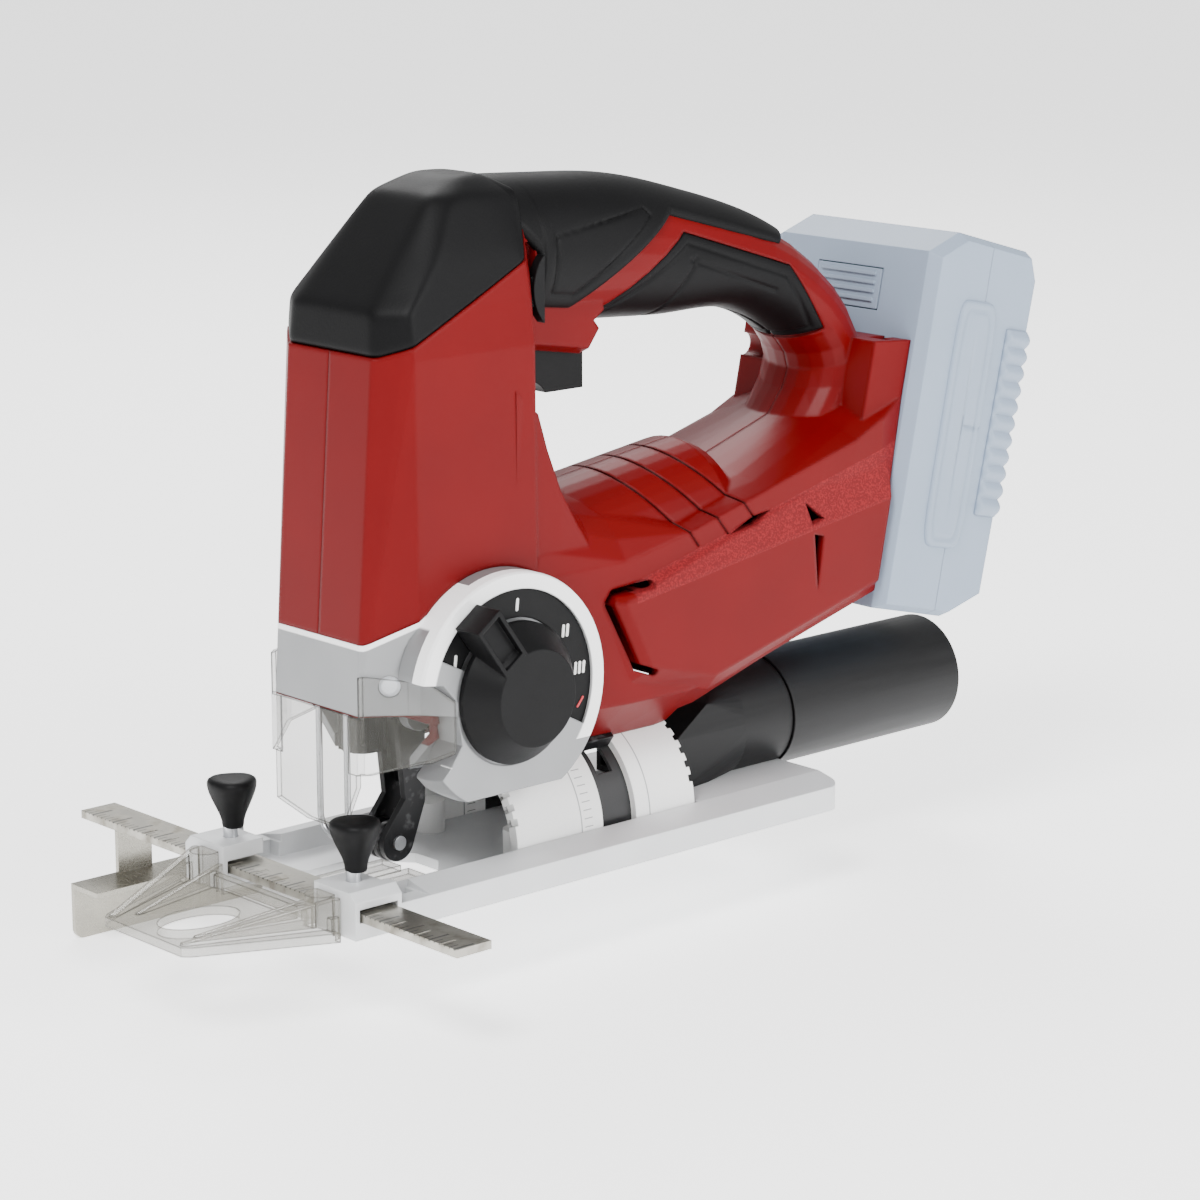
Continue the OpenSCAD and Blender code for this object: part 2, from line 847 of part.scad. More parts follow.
// Aluminium frame that carries the drive
module gear_frame() {
    arm_hw = 11.5;
    color([0.7, 0.71, 0.72]) difference() {
        union() {
            block([frame_x, -frame_hw + gap, motor_z - 5.5],
                [frame_x + frame_t, frame_hw - gap, gear_z + 14]);
            block([frame_x, -18, gear_z + 14], [frame_x + frame_t, 18, bush_top_z + bush_l]);
            block([frame_x, -arm_hw, bush_low_z], [frame_x + frame_t, arm_hw, motor_z - 5.5]);
            for (z = [bush_top_z, bush_low_z]) {
                block([plunger_x, -arm_hw, z], [frame_x, arm_hw, z + bush_l]);
                translate([plunger_x, 0, z]) cylinder(r = bush_r + 1.2, h = bush_l);
            }
            block([wire_x - 1.4, -wire_y - 2, bush_low_z], [plunger_x, wire_y + 2, bush_low_z + 6]);
            along_x(frame_x + frame_t, frame_x + frame_t + 8) translate([0, motor_z]) circle(9.5);
            along_x(frame_x - 3, frame_x) translate([0, gear_z]) circle(gear_bore_r + 3);
            for (s = [-1, 1]) along_y(s * (fork_hw + 2.6) - 1.8, s * (fork_hw + 2.6) + 1.8) hull() {
                translate([fork_pivot_x, fork_pivot_z]) circle(5);
                translate([fork_pivot_x + 5, bush_low_z + 2]) circle(5);
            }
        }
        translate([plunger_x, 0, 0]) cylinder(r = bush_r + seat, h = big);
        along_x(-big, big) translate([0, motor_z]) circle(shaft_r + 1.2);
        along_x(frame_x + frame_t + 1, big) translate([0, motor_z]) circle(8 + seat);
        along_x(-big, big) translate([0, gear_z]) circle(gear_bore_r);
        along_x(gear_x - 2.4, gear_x + gear_t + 0.6) translate([0, gear_z])
            circle(gear_tip_r + 0.6, $fn = 72);
        for (s = [-1, 1]) translate([wire_x, s * wire_y, 0])
            cylinder(r = wire_r, h = bush_low_z + 5, $fn = 24);
        along_y(-big, big) translate([fork_pivot_x, fork_pivot_z]) circle(fork_pin_r);
        translate([dial_x, -40, dial_z]) rotate([-90, 0, 0]) cylinder(r = cam_r + 1.2, h = 60);
    }
}

module plunger_bushes() {
    color([0.72, 0.55, 0.3]) for (z = [bush_top_z, bush_low_z]) translate([plunger_x, 0, z]) difference() {
        cylinder(r = bush_r, h = bush_l);
        translate([0, 0, -1]) cylinder(r = rod_r + fit, h = bush_l + 2);
    }
}

module gear_axle() {
    color(STEEL) {
        along_x(gear_x + 1.7, frame_x + frame_t + 2) translate([0, gear_z]) circle(gear_bore_r);
    }
}

module fork_pin() {
    pin_hw = fork_hw + 4.6;
    color(STEEL) along_y(-pin_hw, pin_hw) translate([fork_pivot_x, fork_pivot_z]) circle(fork_pin_r);
}

// Black saddle that clamps the bevel drum against the body
module bevel_saddle() {
    color(BLACK) difference() {
        along_x(saddle_x0, saddle_x1) translate([0, bevel_z]) intersection() {
            difference() {
                circle(drum_r + 2.4, $fn = 72);
                circle(drum_r - 1.6, $fn = 72);
            }
            polygon([[0, 0], [-60, 60 / tan(saddle_half)], [60, 60 / tan(saddle_half)]]);
        }
        translate([(saddle_x0 + saddle_x1) / 2, 0, 0]) cylinder(r = 2.5 + seat, h = 100);
    }
}

module bevel_screw() {
    x = (saddle_x0 + saddle_x1) / 2;
    color(STEEL) translate([x, 0, bevel_z]) difference() {
        union() {
            translate([0, 0, drum_r - drum_wall - 3]) cylinder(r = 2.5, h = drum_wall + 16);
            translate([0, 0, drum_r - drum_wall - 5.6]) cylinder(r = 4.2, h = 5);
        }
        translate([0, 0, drum_r - drum_wall - 6]) cylinder(r = 2.3, h = 3, $fn = 6);
    }
}

// Motor can with its brush end cap
module motor_can() {
    color(STEEL) difference() {
        along_x(motor_x, motor_x + motor_l) translate([0, motor_z]) circle(motor_r, $fn = 72);
        along_x(motor_x + 1.5, motor_x + motor_l - 3) translate([0, motor_z]) circle(motor_r - 3.4, $fn = 72);
        along_x(motor_x - 1, motor_x + 2) translate([0, motor_z]) circle(6);
        along_x(motor_x + motor_l - 4, motor_x + motor_l + 1) translate([0, motor_z]) circle(5 + seat);
        for (a = [30:60:330]) along_x(motor_x - 1, motor_x + 2)
            translate([11.6 * cos(a), motor_z + 11.6 * sin(a)]) circle(3);
    }
}

module motor_bearings() {
    color(STEEL) {
        bearing_ring(frame_x + frame_t + 1, 6.5, 8);
        bearing_ring(motor_x + motor_l - 3, 3, 5);
    }
}

module bearing_ring(x, l, r) {
    along_x(x, x + l) translate([0, motor_z]) difference() {
        circle(r);
        circle(shaft_r + fit);
    }
}

module switch_module() {
    color(BLACK) difference() {
        union() {
            block([-1, -9, 158], [30, 9, 178]);
            translate([6, 0, 154]) cylinder(r = 1.8, h = 5);
        }
        block([26, -10, 172], [31, 10, 179]);
    }
}

// Circuit board with its heat sink and capacitors, close behind the motor can
board_x = motor_x + motor_l + 3.5;
module control_board() {
    color([0.1, 0.35, 0.2]) {
        block([board_x, 8, 68], [board_x + 28, 9.8, 97.5]);
        block([board_x + 4, -2, 82], [board_x + 22, 8, 98]);
        for (x = [5, 18]) translate([board_x + x, 8, 75]) rotate([90, 0, 0]) cylinder(r = 4, h = 9);
    }
}

// Battery contacts that stand out of the dock's foot
module terminal_block() {
    color(BLACK) in_dock() {
        block([-4, -13, 1.3], [0, 13, 9]);
        for (y = [-9, -3, 3, 9]) block([-1, y - 0.4, 2], [7, y + 0.4, 8.4]);
    }
}

module housing_screws() {
    color(STEEL) for (b = BOSSES) translate([b[0], 0, b[1]]) {
        y = boss_head_y(b);
        along_y(boss_tip_y(b), y + 0.1) circle(boss_screw_r, $fn = 24);
        difference() {
            along_y(y, y + 2.2) circle(3.2, $fn = 24);
            along_y(y + 1, y + 3) circle(1.3, $fn = 6);
        }
    }
}

// Wound armature on its shaft
module armature() {
    color(STEEL) {
        along_x(gear_x + gear_t + 0.6, motor_x + motor_l - 0.4) translate([0, motor_z]) circle(shaft_r);
        along_x(motor_x + 6, motor_x + 36) translate([0, motor_z]) difference() {
            circle(13.6, $fn = 72);
            for (a = [0:30:330]) rotate(a) translate([12.2, 0]) square([4, 1.6], center = true);
        }
        along_x(motor_x + 39, motor_x + 47) translate([0, motor_z]) circle(8);
    }
}

module motor_fan() {
    color(BLACK) difference() {
        union() {
            along_x(fan_x, fan_x + 1.5) translate([0, motor_z]) circle(motor_r - 0.5, $fn = 72);
            along_x(fan_x, fan_x + fan_t) translate([0, motor_z]) circle(6);
            for (a = [0:40:320]) translate([0, 0, motor_z]) rotate([a, 0, 0])
                block([fan_x + 1, -0.8, 4.6], [fan_x + fan_t - 0.6, 0.8, motor_r - 1.3]);
        }
        along_x(-big, big) translate([0, motor_z]) circle(shaft_r + 0.01);
    }
}

module pinion() {
    color(STEEL) along_x(gear_x - 0.5, gear_x + gear_t + 0.6) translate([0, motor_z])
        rotate(90) polygon(gear_outline(pinion_teeth, tooth_module));
}

// Crank gear: its counterweight and crank pin face the plunger
module crank_gear() {
    color(STEEL) translate([0, 0, gear_z]) difference() {
        union() {
            along_x(gear_x, gear_x + gear_t) rotate(-90 + 180 / gear_teeth)
                polygon(gear_outline(gear_teeth, tooth_module));
            along_x(crank_pin_x, gear_x + 1) translate([crank_r, 0]) circle(crank_pin_r);
            along_x(gear_x - 1.8, gear_x) intersection() {
                circle(18);
                translate([-13, 0]) square([12, 40], center = true);
            }
        }
        along_x(gear_x + 1.5, gear_x + gear_t + 1) circle(gear_bore_r + fit);
        for (a = [60:60:300]) along_x(gear_x + 4, big) rotate(a) translate([12, 0]) circle(3.4);
    }
}

module crank_roller() {
    color(STEEL) along_x(crank_pin_x, yoke_x + yoke_t + 0.4) translate([crank_r, gear_z]) difference() {
        circle(crank_roller_r);
        circle(crank_pin_r + 0.02);
    }
}

// Yoke with a cross slot, clamped round the plunger rod
module scotch_yoke() {
    slot_hh = crank_roller_r + yoke_slop;
    slot_hw_y = crank_r + crank_roller_r + gap;
    color(STEEL) translate([0, 0, gear_z]) difference() {
        union() {
            block([yoke_x, -yoke_hw, -yoke_hh], [yoke_x + yoke_t, yoke_hw, yoke_hh]);
            translate([plunger_x, 0, -yoke_hh]) cylinder(r = rod_r + 2, h = 2 * yoke_hh);
        }
        block([yoke_x + 1.2, -slot_hw_y, -slot_hh], [yoke_x + yoke_t + 1, slot_hw_y, slot_hh]);
        translate([plunger_x, 0, -50]) cylinder(r = rod_r + 0.01, h = 100);
    }
}

module plunger_rod() {
    color(STEEL) translate([plunger_x, 0, 0]) {
        translate([0, 0, rod_low_z]) cylinder(r = rod_r, h = rod_top_z - rod_chamfer - rod_low_z);
        translate([0, 0, rod_top_z - rod_chamfer]) cylinder(r1 = rod_r, r2 = rod_r - rod_chamfer,
            h = rod_chamfer);
    }
}

// Blade clamp: a fixed core with the blade slot, and a sprung collar round it
module clamp_body() {
    color(BLACK) translate([plunger_x, 0, 0]) difference() {
        union() {
            translate([0, 0, clamp_low_z]) cylinder(r = clamp_r - 1.6, h = clamp_h);
            translate([0, 0, clamp_low_z + clamp_h - 3]) cylinder(r = clamp_r, h = 3);
        }
        translate([0, 0, rod_low_z]) cylinder(r = rod_r + 0.01, h = 60);
        block([-4, -0.9, clamp_low_z - 1], [4, 0.9, rod_low_z]);
    }
}

module clamp_collar() {
    lever_l = 9.5;
    color([0.13, 0.15, 0.2]) translate([plunger_x, 0, clamp_low_z + 0.6]) difference() {
        union() {
            cylinder(r = clamp_r, h = clamp_h - 4);
            for (a = [0:30:330]) rotate(a) translate([clamp_r, 0, 0])
                cylinder(r = 0.6, h = clamp_h - 4, $fn = 16);
            rotate(215) block([0, -2.2, 3], [lever_l, 2.2, clamp_h - 6.8]);
        }
        translate([0, 0, -1]) cylinder(r = clamp_r - 1.6 + fit, h = clamp_h);
    }
}

// Fork that holds the roller behind the blade, with a tail beside the dial's cam
module guide_fork() {
    cheek_y = roller_w / 2 + gap;
    tail_x = dial_x - cam_r - cam_gap;
    color(BLACK) difference() {
        union() {
            for (s = [-1, 1]) along_y(min(s * cheek_y, s * fork_hw), max(s * cheek_y, s * fork_hw)) {
                hull() {
                    translate([roller_x, roller_z]) circle(roller_r - 0.4);
                    translate([-44.2, 22]) circle(3.4);
                }
                hull() {
                    translate([-44.2, 22]) circle(3.4);
                    translate([fork_pivot_x, fork_pivot_z]) circle(fork_hub_r);
                }
            }
            along_y(-cheek_y - 0.1, cheek_y + 0.1) hull() {
                translate([-42.4, 27]) circle(2);
                translate([fork_pivot_x + 1, fork_pivot_z]) circle(fork_hub_r - 1);
            }
            along_y(-4, 4) hull() {
                translate([fork_pivot_x + 0.4, fork_pivot_z]) circle(4.4);
                translate([tail_x - 2, dial_z]) circle(2);
                translate([tail_x - 2, dial_z + 4]) circle(2);
            }
        }
        along_y(-big, big) translate([fork_pivot_x, fork_pivot_z]) circle(fork_pin_r + fit);
        along_y(-big, big) translate([roller_x, roller_z]) circle(roller_pin_r);
    }
}

module roller_pin() {
    pin_hw = fork_hw + 0.8;
    color(STEEL) along_y(-pin_hw, pin_hw) translate([roller_x, roller_z]) circle(roller_pin_r);
}

module guide_roller() {
    color(STEEL) translate([roller_x, 0, roller_z]) rotate([90, 0, 0]) rotate_extrude(convexity = 4)
        polygon([[roller_pin_r + fit, -roller_w / 2], [roller_r - 0.5, -roller_w / 2],
            [roller_r, -roller_w / 2 + 0.5],
            [roller_r, -0.9], [roller_r - 1.2, -0.5], [roller_r - 1.2, 0.5], [roller_r, 0.9],
            [roller_r, roller_w / 2 - 0.5], [roller_r - 0.5, roller_w / 2],
                [roller_pin_r + fit, roller_w / 2]]);
}

// Dial knob: a low cone with a pointer box
module dial_knob() {
    base_y = dial_face_y - 0.1;
    tip_r = knob_r * 0.68;
    color(BLACK) translate([dial_x, 0, dial_z]) {
        translate([0, base_y, 0]) rotate([90, 0, 0]) {
            cylinder(r = knob_r, h = 1.6);
            translate([0, 0, 1.6]) cylinder(r1 = knob_r, r2 = tip_r, h = knob_h - 1.6);
        }
        rotate([0, -126, 0]) difference() {
            block([4, base_y - knob_h, -4.6], [29, base_y - 0.2, 4.6]);
            block([14, base_y - knob_h - 1, -3.4], [27.8, base_y - knob_h + 2.2, 3.4]);
        }
    }
}

module dial_camshaft() {
    color(STEEL) translate([dial_x, 0, dial_z]) difference() {
        along_y(dial_face_y - 0.1, 5) circle(cam_r);
        rotate([0, 54, 0]) block([-9, -7, cam_r - 0.9], [9, 6, cam_r + 1]);
    }
}

// Trigger with a finger curve
module trigger() {
    color(BLACK) difference() {
        block([trigger_x0, -trigger_hw, trigger_z0], [trigger_x1, trigger_hw, trigger_z1]);
        along_y(-big, big) translate([trigger_x0 - 2, trigger_z0 - 5]) circle(9);
        translate([6, 0, trigger_z1 - 6]) cylinder(r = 3.3, h = 10);
        block([trigger_x1 - 3, -big, trigger_z0 + 14], [big, big, big]);
    }
}

// Coil of half turns, each tilted the other way to the last
module trigger_spring() {
    halves = 10;
    wire = 0.35;
    coil_r = 2.75;
    z0 = trigger_z1 - 6 + wire + 0.02;
    rise = (158 - wire - 0.02 - z0) / halves / 2;
    lean = asin(rise / coil_r);
    color(STEEL) for (i = [0:halves - 1]) translate([6, 0, z0 + (2 * i + 1) * rise])
        rotate([0, i % 2 == 0 ? -lean : lean, 0]) rotate([0, 0, i % 2 == 0 ? 0 : 180])
        rotate_extrude(angle = 180) translate([coil_r, 0]) circle(wire, $fn = 16);
}

module lock_off_bar() {
    color(BLACK) {
        block([lock_x0, -lock_y + 1, 157], [lock_x1, lock_y - 1, 165]);
        for (s = [-1, 1]) along_y(min(s * (lock_y - 3), s * lock_y), max(s * (lock_y - 3), s * lock_y))
            intersection() {
            translate([lock_x0 + 13, 161.5]) circle(13);
            translate([lock_x0, 151]) square([lock_x1 - lock_x0, 21]);
        }
    }
}

// Clear guard that closes the nose in front of the blade
module chip_guard() {
    guard_t = 1.6;
    top_z = 53.2;
    front_x = face_x_bottom - 0.1;
    color(CLEAR) difference() {
        union() {
            intersection() {
                block([front_x, -face_hw, 21], [front_x + guard_t, face_hw, top_z]);
                along_x(-big, big) polygon([[-11, 21], [4, 21], [face_hw, 24], [face_hw, 60],
                    [-face_hw, 60], [-face_hw, 34]]);
            }
            intersection() {
                linear_extrude(65) polygon([[front_x, face_hw - 3], [front_x + guard_t, face_hw - 3],
                    [front_x + guard_t, face_hw + 1.5], [wing_x[0], head_hw + 0.4], [-48.5, head_hw + 0.6],
                    [-48.5, head_hw + 2], [wing_x[0] - 0.6, head_hw + 1.8], [front_x - 0.4, face_hw + 1],
                    [front_x - 0.4, face_hw - 3]]);
                along_y(0, big) polygon([[-80, 37.4], [-72, 37.6], [-60, 41], [-48, 43.5], [-48, 54],
                    [-60, 62], [-72, 64.5], [-80, 64.5]]);
            }
            intersection() {
                linear_extrude(65) polygon([[front_x, 3 - face_hw], [front_x + guard_t, 3 - face_hw],
                    [front_x + guard_t, -face_hw - 1.5], [wing_x[0], -wing_y[0]], [wing_x[1], -wing_y[1]],
                    [wing_x[1] - 1.1, -wing_y[1] - 0.8], [wing_x[0] - 1, -wing_y[0] - 1.1],
                    [front_x - 0.4, -face_hw - 1], [front_x - 0.4, 3 - face_hw]]);
                along_y(-big, 0) wing_outline();
            }
        }
        block([-big, -face_hw - 1.2, top_z], [front_x + 5, face_hw + 1.2, 70]);
        intersection() {
            dial_boss(gap);
            block([wing_x[0], -60, 0], [0, 0, 100]);
        }
    }
}

// Cast sole: crowned on top, with a tray for the drum and two clamp blocks in front
module sole_plate() {
    hw = sole_w / 2;
    tray_hw = drum_r + 0.6;
    front_x = block_x0 + block_l;
    color(SILVER) difference() {
        union() {
            intersection() {
                linear_extrude(30) sole_outline();
                union() {
                    along_x(front_x - 1, sole_l / 2)
                        polygon([[-hw, 0], [hw, 0], [hw, sole_rim_h], [-hw, sole_rim_h]]);
                    along_x(front_x + 10, sole_l / 2)
                        polygon([[-hw, sole_rim_h - 1], [hw, sole_rim_h - 1], [hw, sole_rim_h],
                        [tray_hw, crown_z], [-tray_hw, crown_z], [-hw, sole_rim_h]]);
                }
            }
            for (s = [0, 1]) mirror([0, s, 0]) along_x(block_x0, front_x)
                polygon([[hw - block_w, 0], [hw, 0], [hw, block_h - block_bevel], [hw - block_bevel, block_h],
                    [hw - block_w, block_h]]);
        }
        block([front_x + 8, -tray_hw, sole_floor_t], [drum_x0 + drum_l + 1, tray_hw, 30]);
        block([front_x - 2, -hw + sole_rim_w, sole_floor_t], [front_x + 9, hw - sole_rim_w, 30]);
        linear_extrude(big, center = true) polygon([[block_x0 - 1, -hw + block_w], [front_x, -hw + block_w],
            [front_x + 8, -slot_hw], [slot_x1 - 6, -slot_hw], [slot_x1, -5], [slot_x1, 5],
                [slot_x1 - 6, slot_hw],
            [front_x + 8, slot_hw], [front_x, hw - block_w], [block_x0 - 1, hw - block_w]]);
        block([rail_x - rail_w / 2 - 0.6, -big, rail_z - 0.1],
            [rail_x + rail_w / 2 + 0.6, big, rail_z + rail_t + 1.2]);
        for (s = [-1, 1]) translate([rail_x, s * screw_y, rail_z]) cylinder(r = screw_r + fit, h = big);
        for (p = drum_bolts()) translate([p[0], p[1], -1]) {
            cylinder(r = 1.8, h = 10);
            cylinder(r = 4, h = 2.6);
        }
    }
}

function drum_bolts() = [for (x = [drum_x0 + 7, drum_x0 + drum_l - 7]) for (y = [-19, 19]) [x, y]];

module sole_outline() {
    hw = sole_w / 2;
    r = 5;
    x1 = sole_l / 2;
    union() {
        translate([block_x0 + block_l - 1, -hw]) square([sole_l - block_l + 1 - r, sole_w]);
        translate([x1 - r - 1, -hw + r]) square([r + 1, sole_w - 2 * r]);
        for (s = [-1, 1]) translate([x1 - r, s * (hw - r)]) circle(r);
    }
}

// Half drum with the bevel scale, toothed at both ends, with an arc slot for the clamp screw
module bevel_drum() {
    x1 = drum_x0 + drum_l;
    color([0.93, 0.93, 0.93]) difference() {
        union() {
            along_x(drum_x0, x1) translate([0, bevel_z]) drum_ring(drum_r, drum_r - drum_wall);
            along_x(drum_x0, x1) for (s = [-1, 1])
                translate([s * (drum_r - drum_wall / 2) - drum_wall / 2, sole_floor_t])
                    square([drum_wall, bevel_z - sole_floor_t + 0.1]);
            for (p = drum_bolts()) {
                translate([p[0], p[1], sole_floor_t]) cylinder(r = 4.2, h = 9);
                translate([p[0] - 4.2, min(p[1], sign(p[1]) * (drum_r - 1)), sole_floor_t])
                    cube([8.4, drum_r - 20, 3]);
            }
        }
        along_x(saddle_x0 - gap, saddle_x1 + gap) translate([0, bevel_z]) drum_ring(drum_r + 1, drum_r - 1.9);
        translate([(saddle_x0 + saddle_x1) / 2, 0, bevel_z]) rotate([0, 90, 0])
            rotate([0, 0, 90]) rotate_extrude(angle = 2 * bevel_max + 16, start = 90 - bevel_max - 8)
            translate([drum_r - drum_wall - 3, -2.8]) square([drum_wall + 6, 5.6]);
        for (end = [drum_x0, x1]) for (a = [-72:9:72]) translate([end, 0, bevel_z]) rotate([a, 0, 0])
            translate([0, 0, drum_r - 1]) cube([2.4, 2, 4], center = true);
        for (p = drum_bolts()) translate([p[0], p[1], 0]) cylinder(r = 1.5, h = 11);
    }
}

module drum_ring(ro, ri) {
    intersection() {
        difference() {
            circle(ro, $fn = 72);
            circle(ri, $fn = 72);
        }
        translate([-50, 0]) square([100, 50]);
    }
}

module drum_screws() {
    color(STEEL) for (p = drum_bolts()) translate([p[0], p[1], 0]) difference() {
        union() {
            translate([0, 0, 0.2]) cylinder(r = 3.6, h = 1.4);
            cylinder(r = 1.5, h = 10);
        }
        translate([0, 0, -1]) cylinder(r = 1.2, h = 2, $fn = 6);
    }
}

// Duct that carries the dust from the drum to the spout
module dust_duct() {
    t = 2;
    mouth_hw = 17;
    neck_x = spout_x0 - 20;
    low_z = crown_z + seat;
    color(BLACK) difference() {
        union() {
            hull() {
                block([duct_x0, -mouth_hw, low_z], [duct_x0 + 1, mouth_hw, 25]);
                block([duct_x0 + 14, -15, low_z], [duct_x0 + 15, 15, 33]);
                translate([neck_x, 0, spout_z]) rotate([0, 90, 0]) cylinder(r = spout_r - 0.6, h = 1);
            }
            translate([neck_x, 0, spout_z]) rotate([0, 90, 0]) cylinder(r = spout_r - 0.6, h = 20);
            translate([spout_x0 - 1, 0, spout_z]) rotate([0, 90, 0]) cylinder(r = sleeve_r, h = sleeve_l + 1);
        }
        hull() {
            block([duct_x0 - 1, -mouth_hw + t, low_z + t], [duct_x0 + 1, mouth_hw - t, 25 - t]);
            translate([neck_x, 0, spout_z]) rotate([0, 90, 0]) cylinder(r = spout_r - 5, h = 1);
        }
        translate([neck_x, 0, spout_z]) rotate([0, 90, 0]) cylinder(r = spout_r - 5, h = 60);
        block([duct_x0 - 2, -big, -big], [spout_x0 + gap, big, low_z - 0.01]);
    }
}

module dust_spout() {
    color(BLACK) translate([spout_x0 + gap, 0, spout_z]) rotate([0, 90, 0]) difference() {
        cylinder(r = spout_r, h = spout_l);
        translate([0, 0, -1]) cylinder(r = hose_bore_r, h = spout_l + 2);
        translate([0, 0, -1]) cylinder(r = sleeve_r + fit, h = sleeve_l + 1);
    }
}

// Clear front shoe: a splayed frame with an eye, ribs and two posts
module front_shoe() {
    front_x = -132;
    post_x = block_x0 - 3.4;
    base_t = 2.6;
    color(CLEAR) difference() {
        union() {
            linear_extrude(base_t) difference() {
                polygon([[front_x, -17], [front_x + 2, -19], [post_x, -hw_back()], [post_x, hw_back()],
                    [front_x + 2, 19], [front_x, 17]]);
                translate([front_x + 18, 0]) scale([1.5, 1]) circle(8);
            }
            for (s = [0, 1]) mirror([0, s, 0]) {
                hull() {
                    translate([front_x + 2, 16, 0]) cylinder(r = 1.2, h = 3.2, $fn = 24);
                    translate([post_x + 2, 31, 0]) cylinder(r = 1.2, h = 10.5, $fn = 24);
                }
                hull() {
                    translate([front_x + 8, 13, 0]) cylinder(r = 0.9, h = 3, $fn = 24);
                    translate([post_x + 2, 20, 0]) cylinder(r = 0.9, h = 8, $fn = 24);
                }
                translate([post_x + 1.2, 25.5, 0]) cylinder(r = 4.2, h = 11);
            }
            block([post_x - 1, -33, 0], [post_x + 1.6, 33, 6]);
            linear_extrude(1.8) polygon([[post_x, -18], [-76.5, -18], [-68.5, -10], [-44, -10],
                [-44, 10], [-68.5, 10], [-76.5, 18], [post_x, 18]]);
        }
        block([plunger_x - 10, -1.6, -1], [big, 1.6, 5]);
        block([block_x0 - gap, -big, -1], [block_x0 + block_l + gap, -sole_w / 2 + block_w + gap, 40]);
        block([block_x0 - gap, sole_w / 2 - block_w - gap, -1], [block_x0 + block_l + gap, big, 40]);
    }
}

function hw_back() = sole_w / 2 - 2;

module guide_rail() {
    color([0.68, 0.67, 0.62]) difference() {
        block([rail_x - rail_w / 2, -rail_near, rail_z], [rail_x + rail_w / 2, rail_far, rail_z + rail_t]);
        for (y = [-70:10:60]) block([rail_x - rail_w / 2 - 1, y, rail_z + rail_t - 0.15],
            [rail_x - rail_w / 2 + 5, y + 0.6, rail_z + rail_t + 1]);
    }
}

// Pressed fence under the far end of the rail
module fence_plate() {
    t = 1.5;
    y1 = 74.5;
    x0 = rail_x - 21;
    color([0.68, 0.67, 0.62]) {
        block([rail_x - rail_w / 2, y1 - t, -fence_drop + 15], [rail_x + rail_w / 2, y1, rail_z]);
        block([x0, y1 - 13, -fence_drop + 14.8], [x0 + fence_l, y1, -fence_drop + 14.8 + t]);
        along_y(y1 - t, y1) hull() {
            translate([x0, -fence_drop + 15]) square([fence_l, 1]);
            for (x = [x0 + 3, x0 + fence_l - 3]) translate([x, -fence_drop + 3]) circle(3);
        }
    }
}

module clamp_screw(s) {
    color(STEEL) translate([rail_x, s * screw_y, rail_z + rail_t + 0.05]) cylinder(r = screw_r, h = 12);
}

module screw_left() {
    clamp_screw(-1);
}

module screw_right() {
    clamp_screw(1);
}

// Rounded triangular grip, narrow at the foot
module clamp_knob(s) {
    z0 = block_h + 2.6;
    color(BLACK) translate([rail_x, s * screw_y, 0]) difference() {
        union() {
            hull() {
                translate([0, 0, z0]) cylinder(r = 3.2, h = 1, $fn = 32);
                for (a = [0:120:240]) rotate(a) translate([3.6, 0, z0 + 8]) cylinder(r = 3, h = 4, $fn = 32);
            }
            hull() for (a = [0:120:240]) rotate(a) translate([3.2, 0, z0 + 8])
                cylinder(r = 2.4, h = 6, $fn = 32);
        }
        translate([0, 0, z0 - 1]) cylinder(r = screw_r + 0.01, h = rail_z + rail_t + 0.05 + 12 - z0 + 1);
    }
}

module knob_left() {
    clamp_knob(-1);
}

module knob_right() {
    clamp_knob(1);
}

// Side outline of the battery casing in the dock's frame
function pack_outline() = [
    [gap, -7], [31, -8], [pack_d - 2, -1], [pack_d, pack_l - 16], [pack_d - 4, pack_l - 8],
    [12, pack_l - 6], [gap, pack_l - 13]
];

module pack_form(c) {
    hull() {
        along_y(-pack_hw + 4 + c, pack_hw - 4 - c) offset(delta = -c) polygon(pack_outline());
        along_y(-pack_hw + c, pack_hw - c) offset(delta = -c - 2) polygon(pack_outline());
    }
}

pack_split = 24;
button_z0 = pack_l - 32;
button_z1 = pack_l - 20;

// Front half with the two rail hooks and the contact pocket
module pack_front() {
    color(PACK) in_dock() difference() {
        union() {
            difference() {
                intersection() {
                    pack_form(0);
                    block([-5, -big, -big], [pack_split, big, big]);
                }
                pack_form(pack_wall);
            }
            intersection() {
                pack_form(0.2);
                block([0, -15, -20], [10, 15, 9.9]);
            }
            for (s = [0, 1]) mirror([0, s, 0]) {
                block([-4.5, hook_y0, 6], [gap + 0.5, hook_y1, dock_h - 6]);
                block([-rail_block_d + 4, hook_y0, 6], [-4.2, hook_y2, dock_h - 6]);
            }
        }
        block([-1, -13.6, -20], [8.4, 13.6, 9]);
        block([-1, -13 - gap, button_z0 - gap], [pack_wall + 2, 13 + gap, button_z1 + gap]);
    }
}

module pack_rear() {
    color(PACK) in_dock() difference() {
        intersection() {
            pack_form(0);
            block([pack_split + 0.1, -big, -big], [big, big, big]);
        }
        pack_form(pack_wall);
    }
}

module pack_cells() {
    cell_r = 9.1;
    pitch = 18.25;
    foot_z = 10;
    rows = floor((pack_l - 8 - pack_wall - foot_z) / pitch);
    color([0.25, 0.5, 0.4]) in_dock() for (k = [0:1]) for (i = [0:rows - 1])
        translate([14.3 + k * (pitch + 0.05), 0, foot_z + cell_r + i * pitch]) rotate([90, 0, 0])
            cylinder(r = cell_r, h = 64.6, center = true);
}

// Release button in the front face of the battery, above the dock
module pack_button() {
    color([0.6, 0.2, 0.2]) in_dock() {
        block([0.1, -13, button_z0], [pack_wall + 0.2, 13, button_z1]);
        for (z = [0:3]) block([-0.6, -11, button_z0 + 2 + z * 2.6], [0.2, 11, button_z0 + 3.2 + z * 2.6]);
    }
}

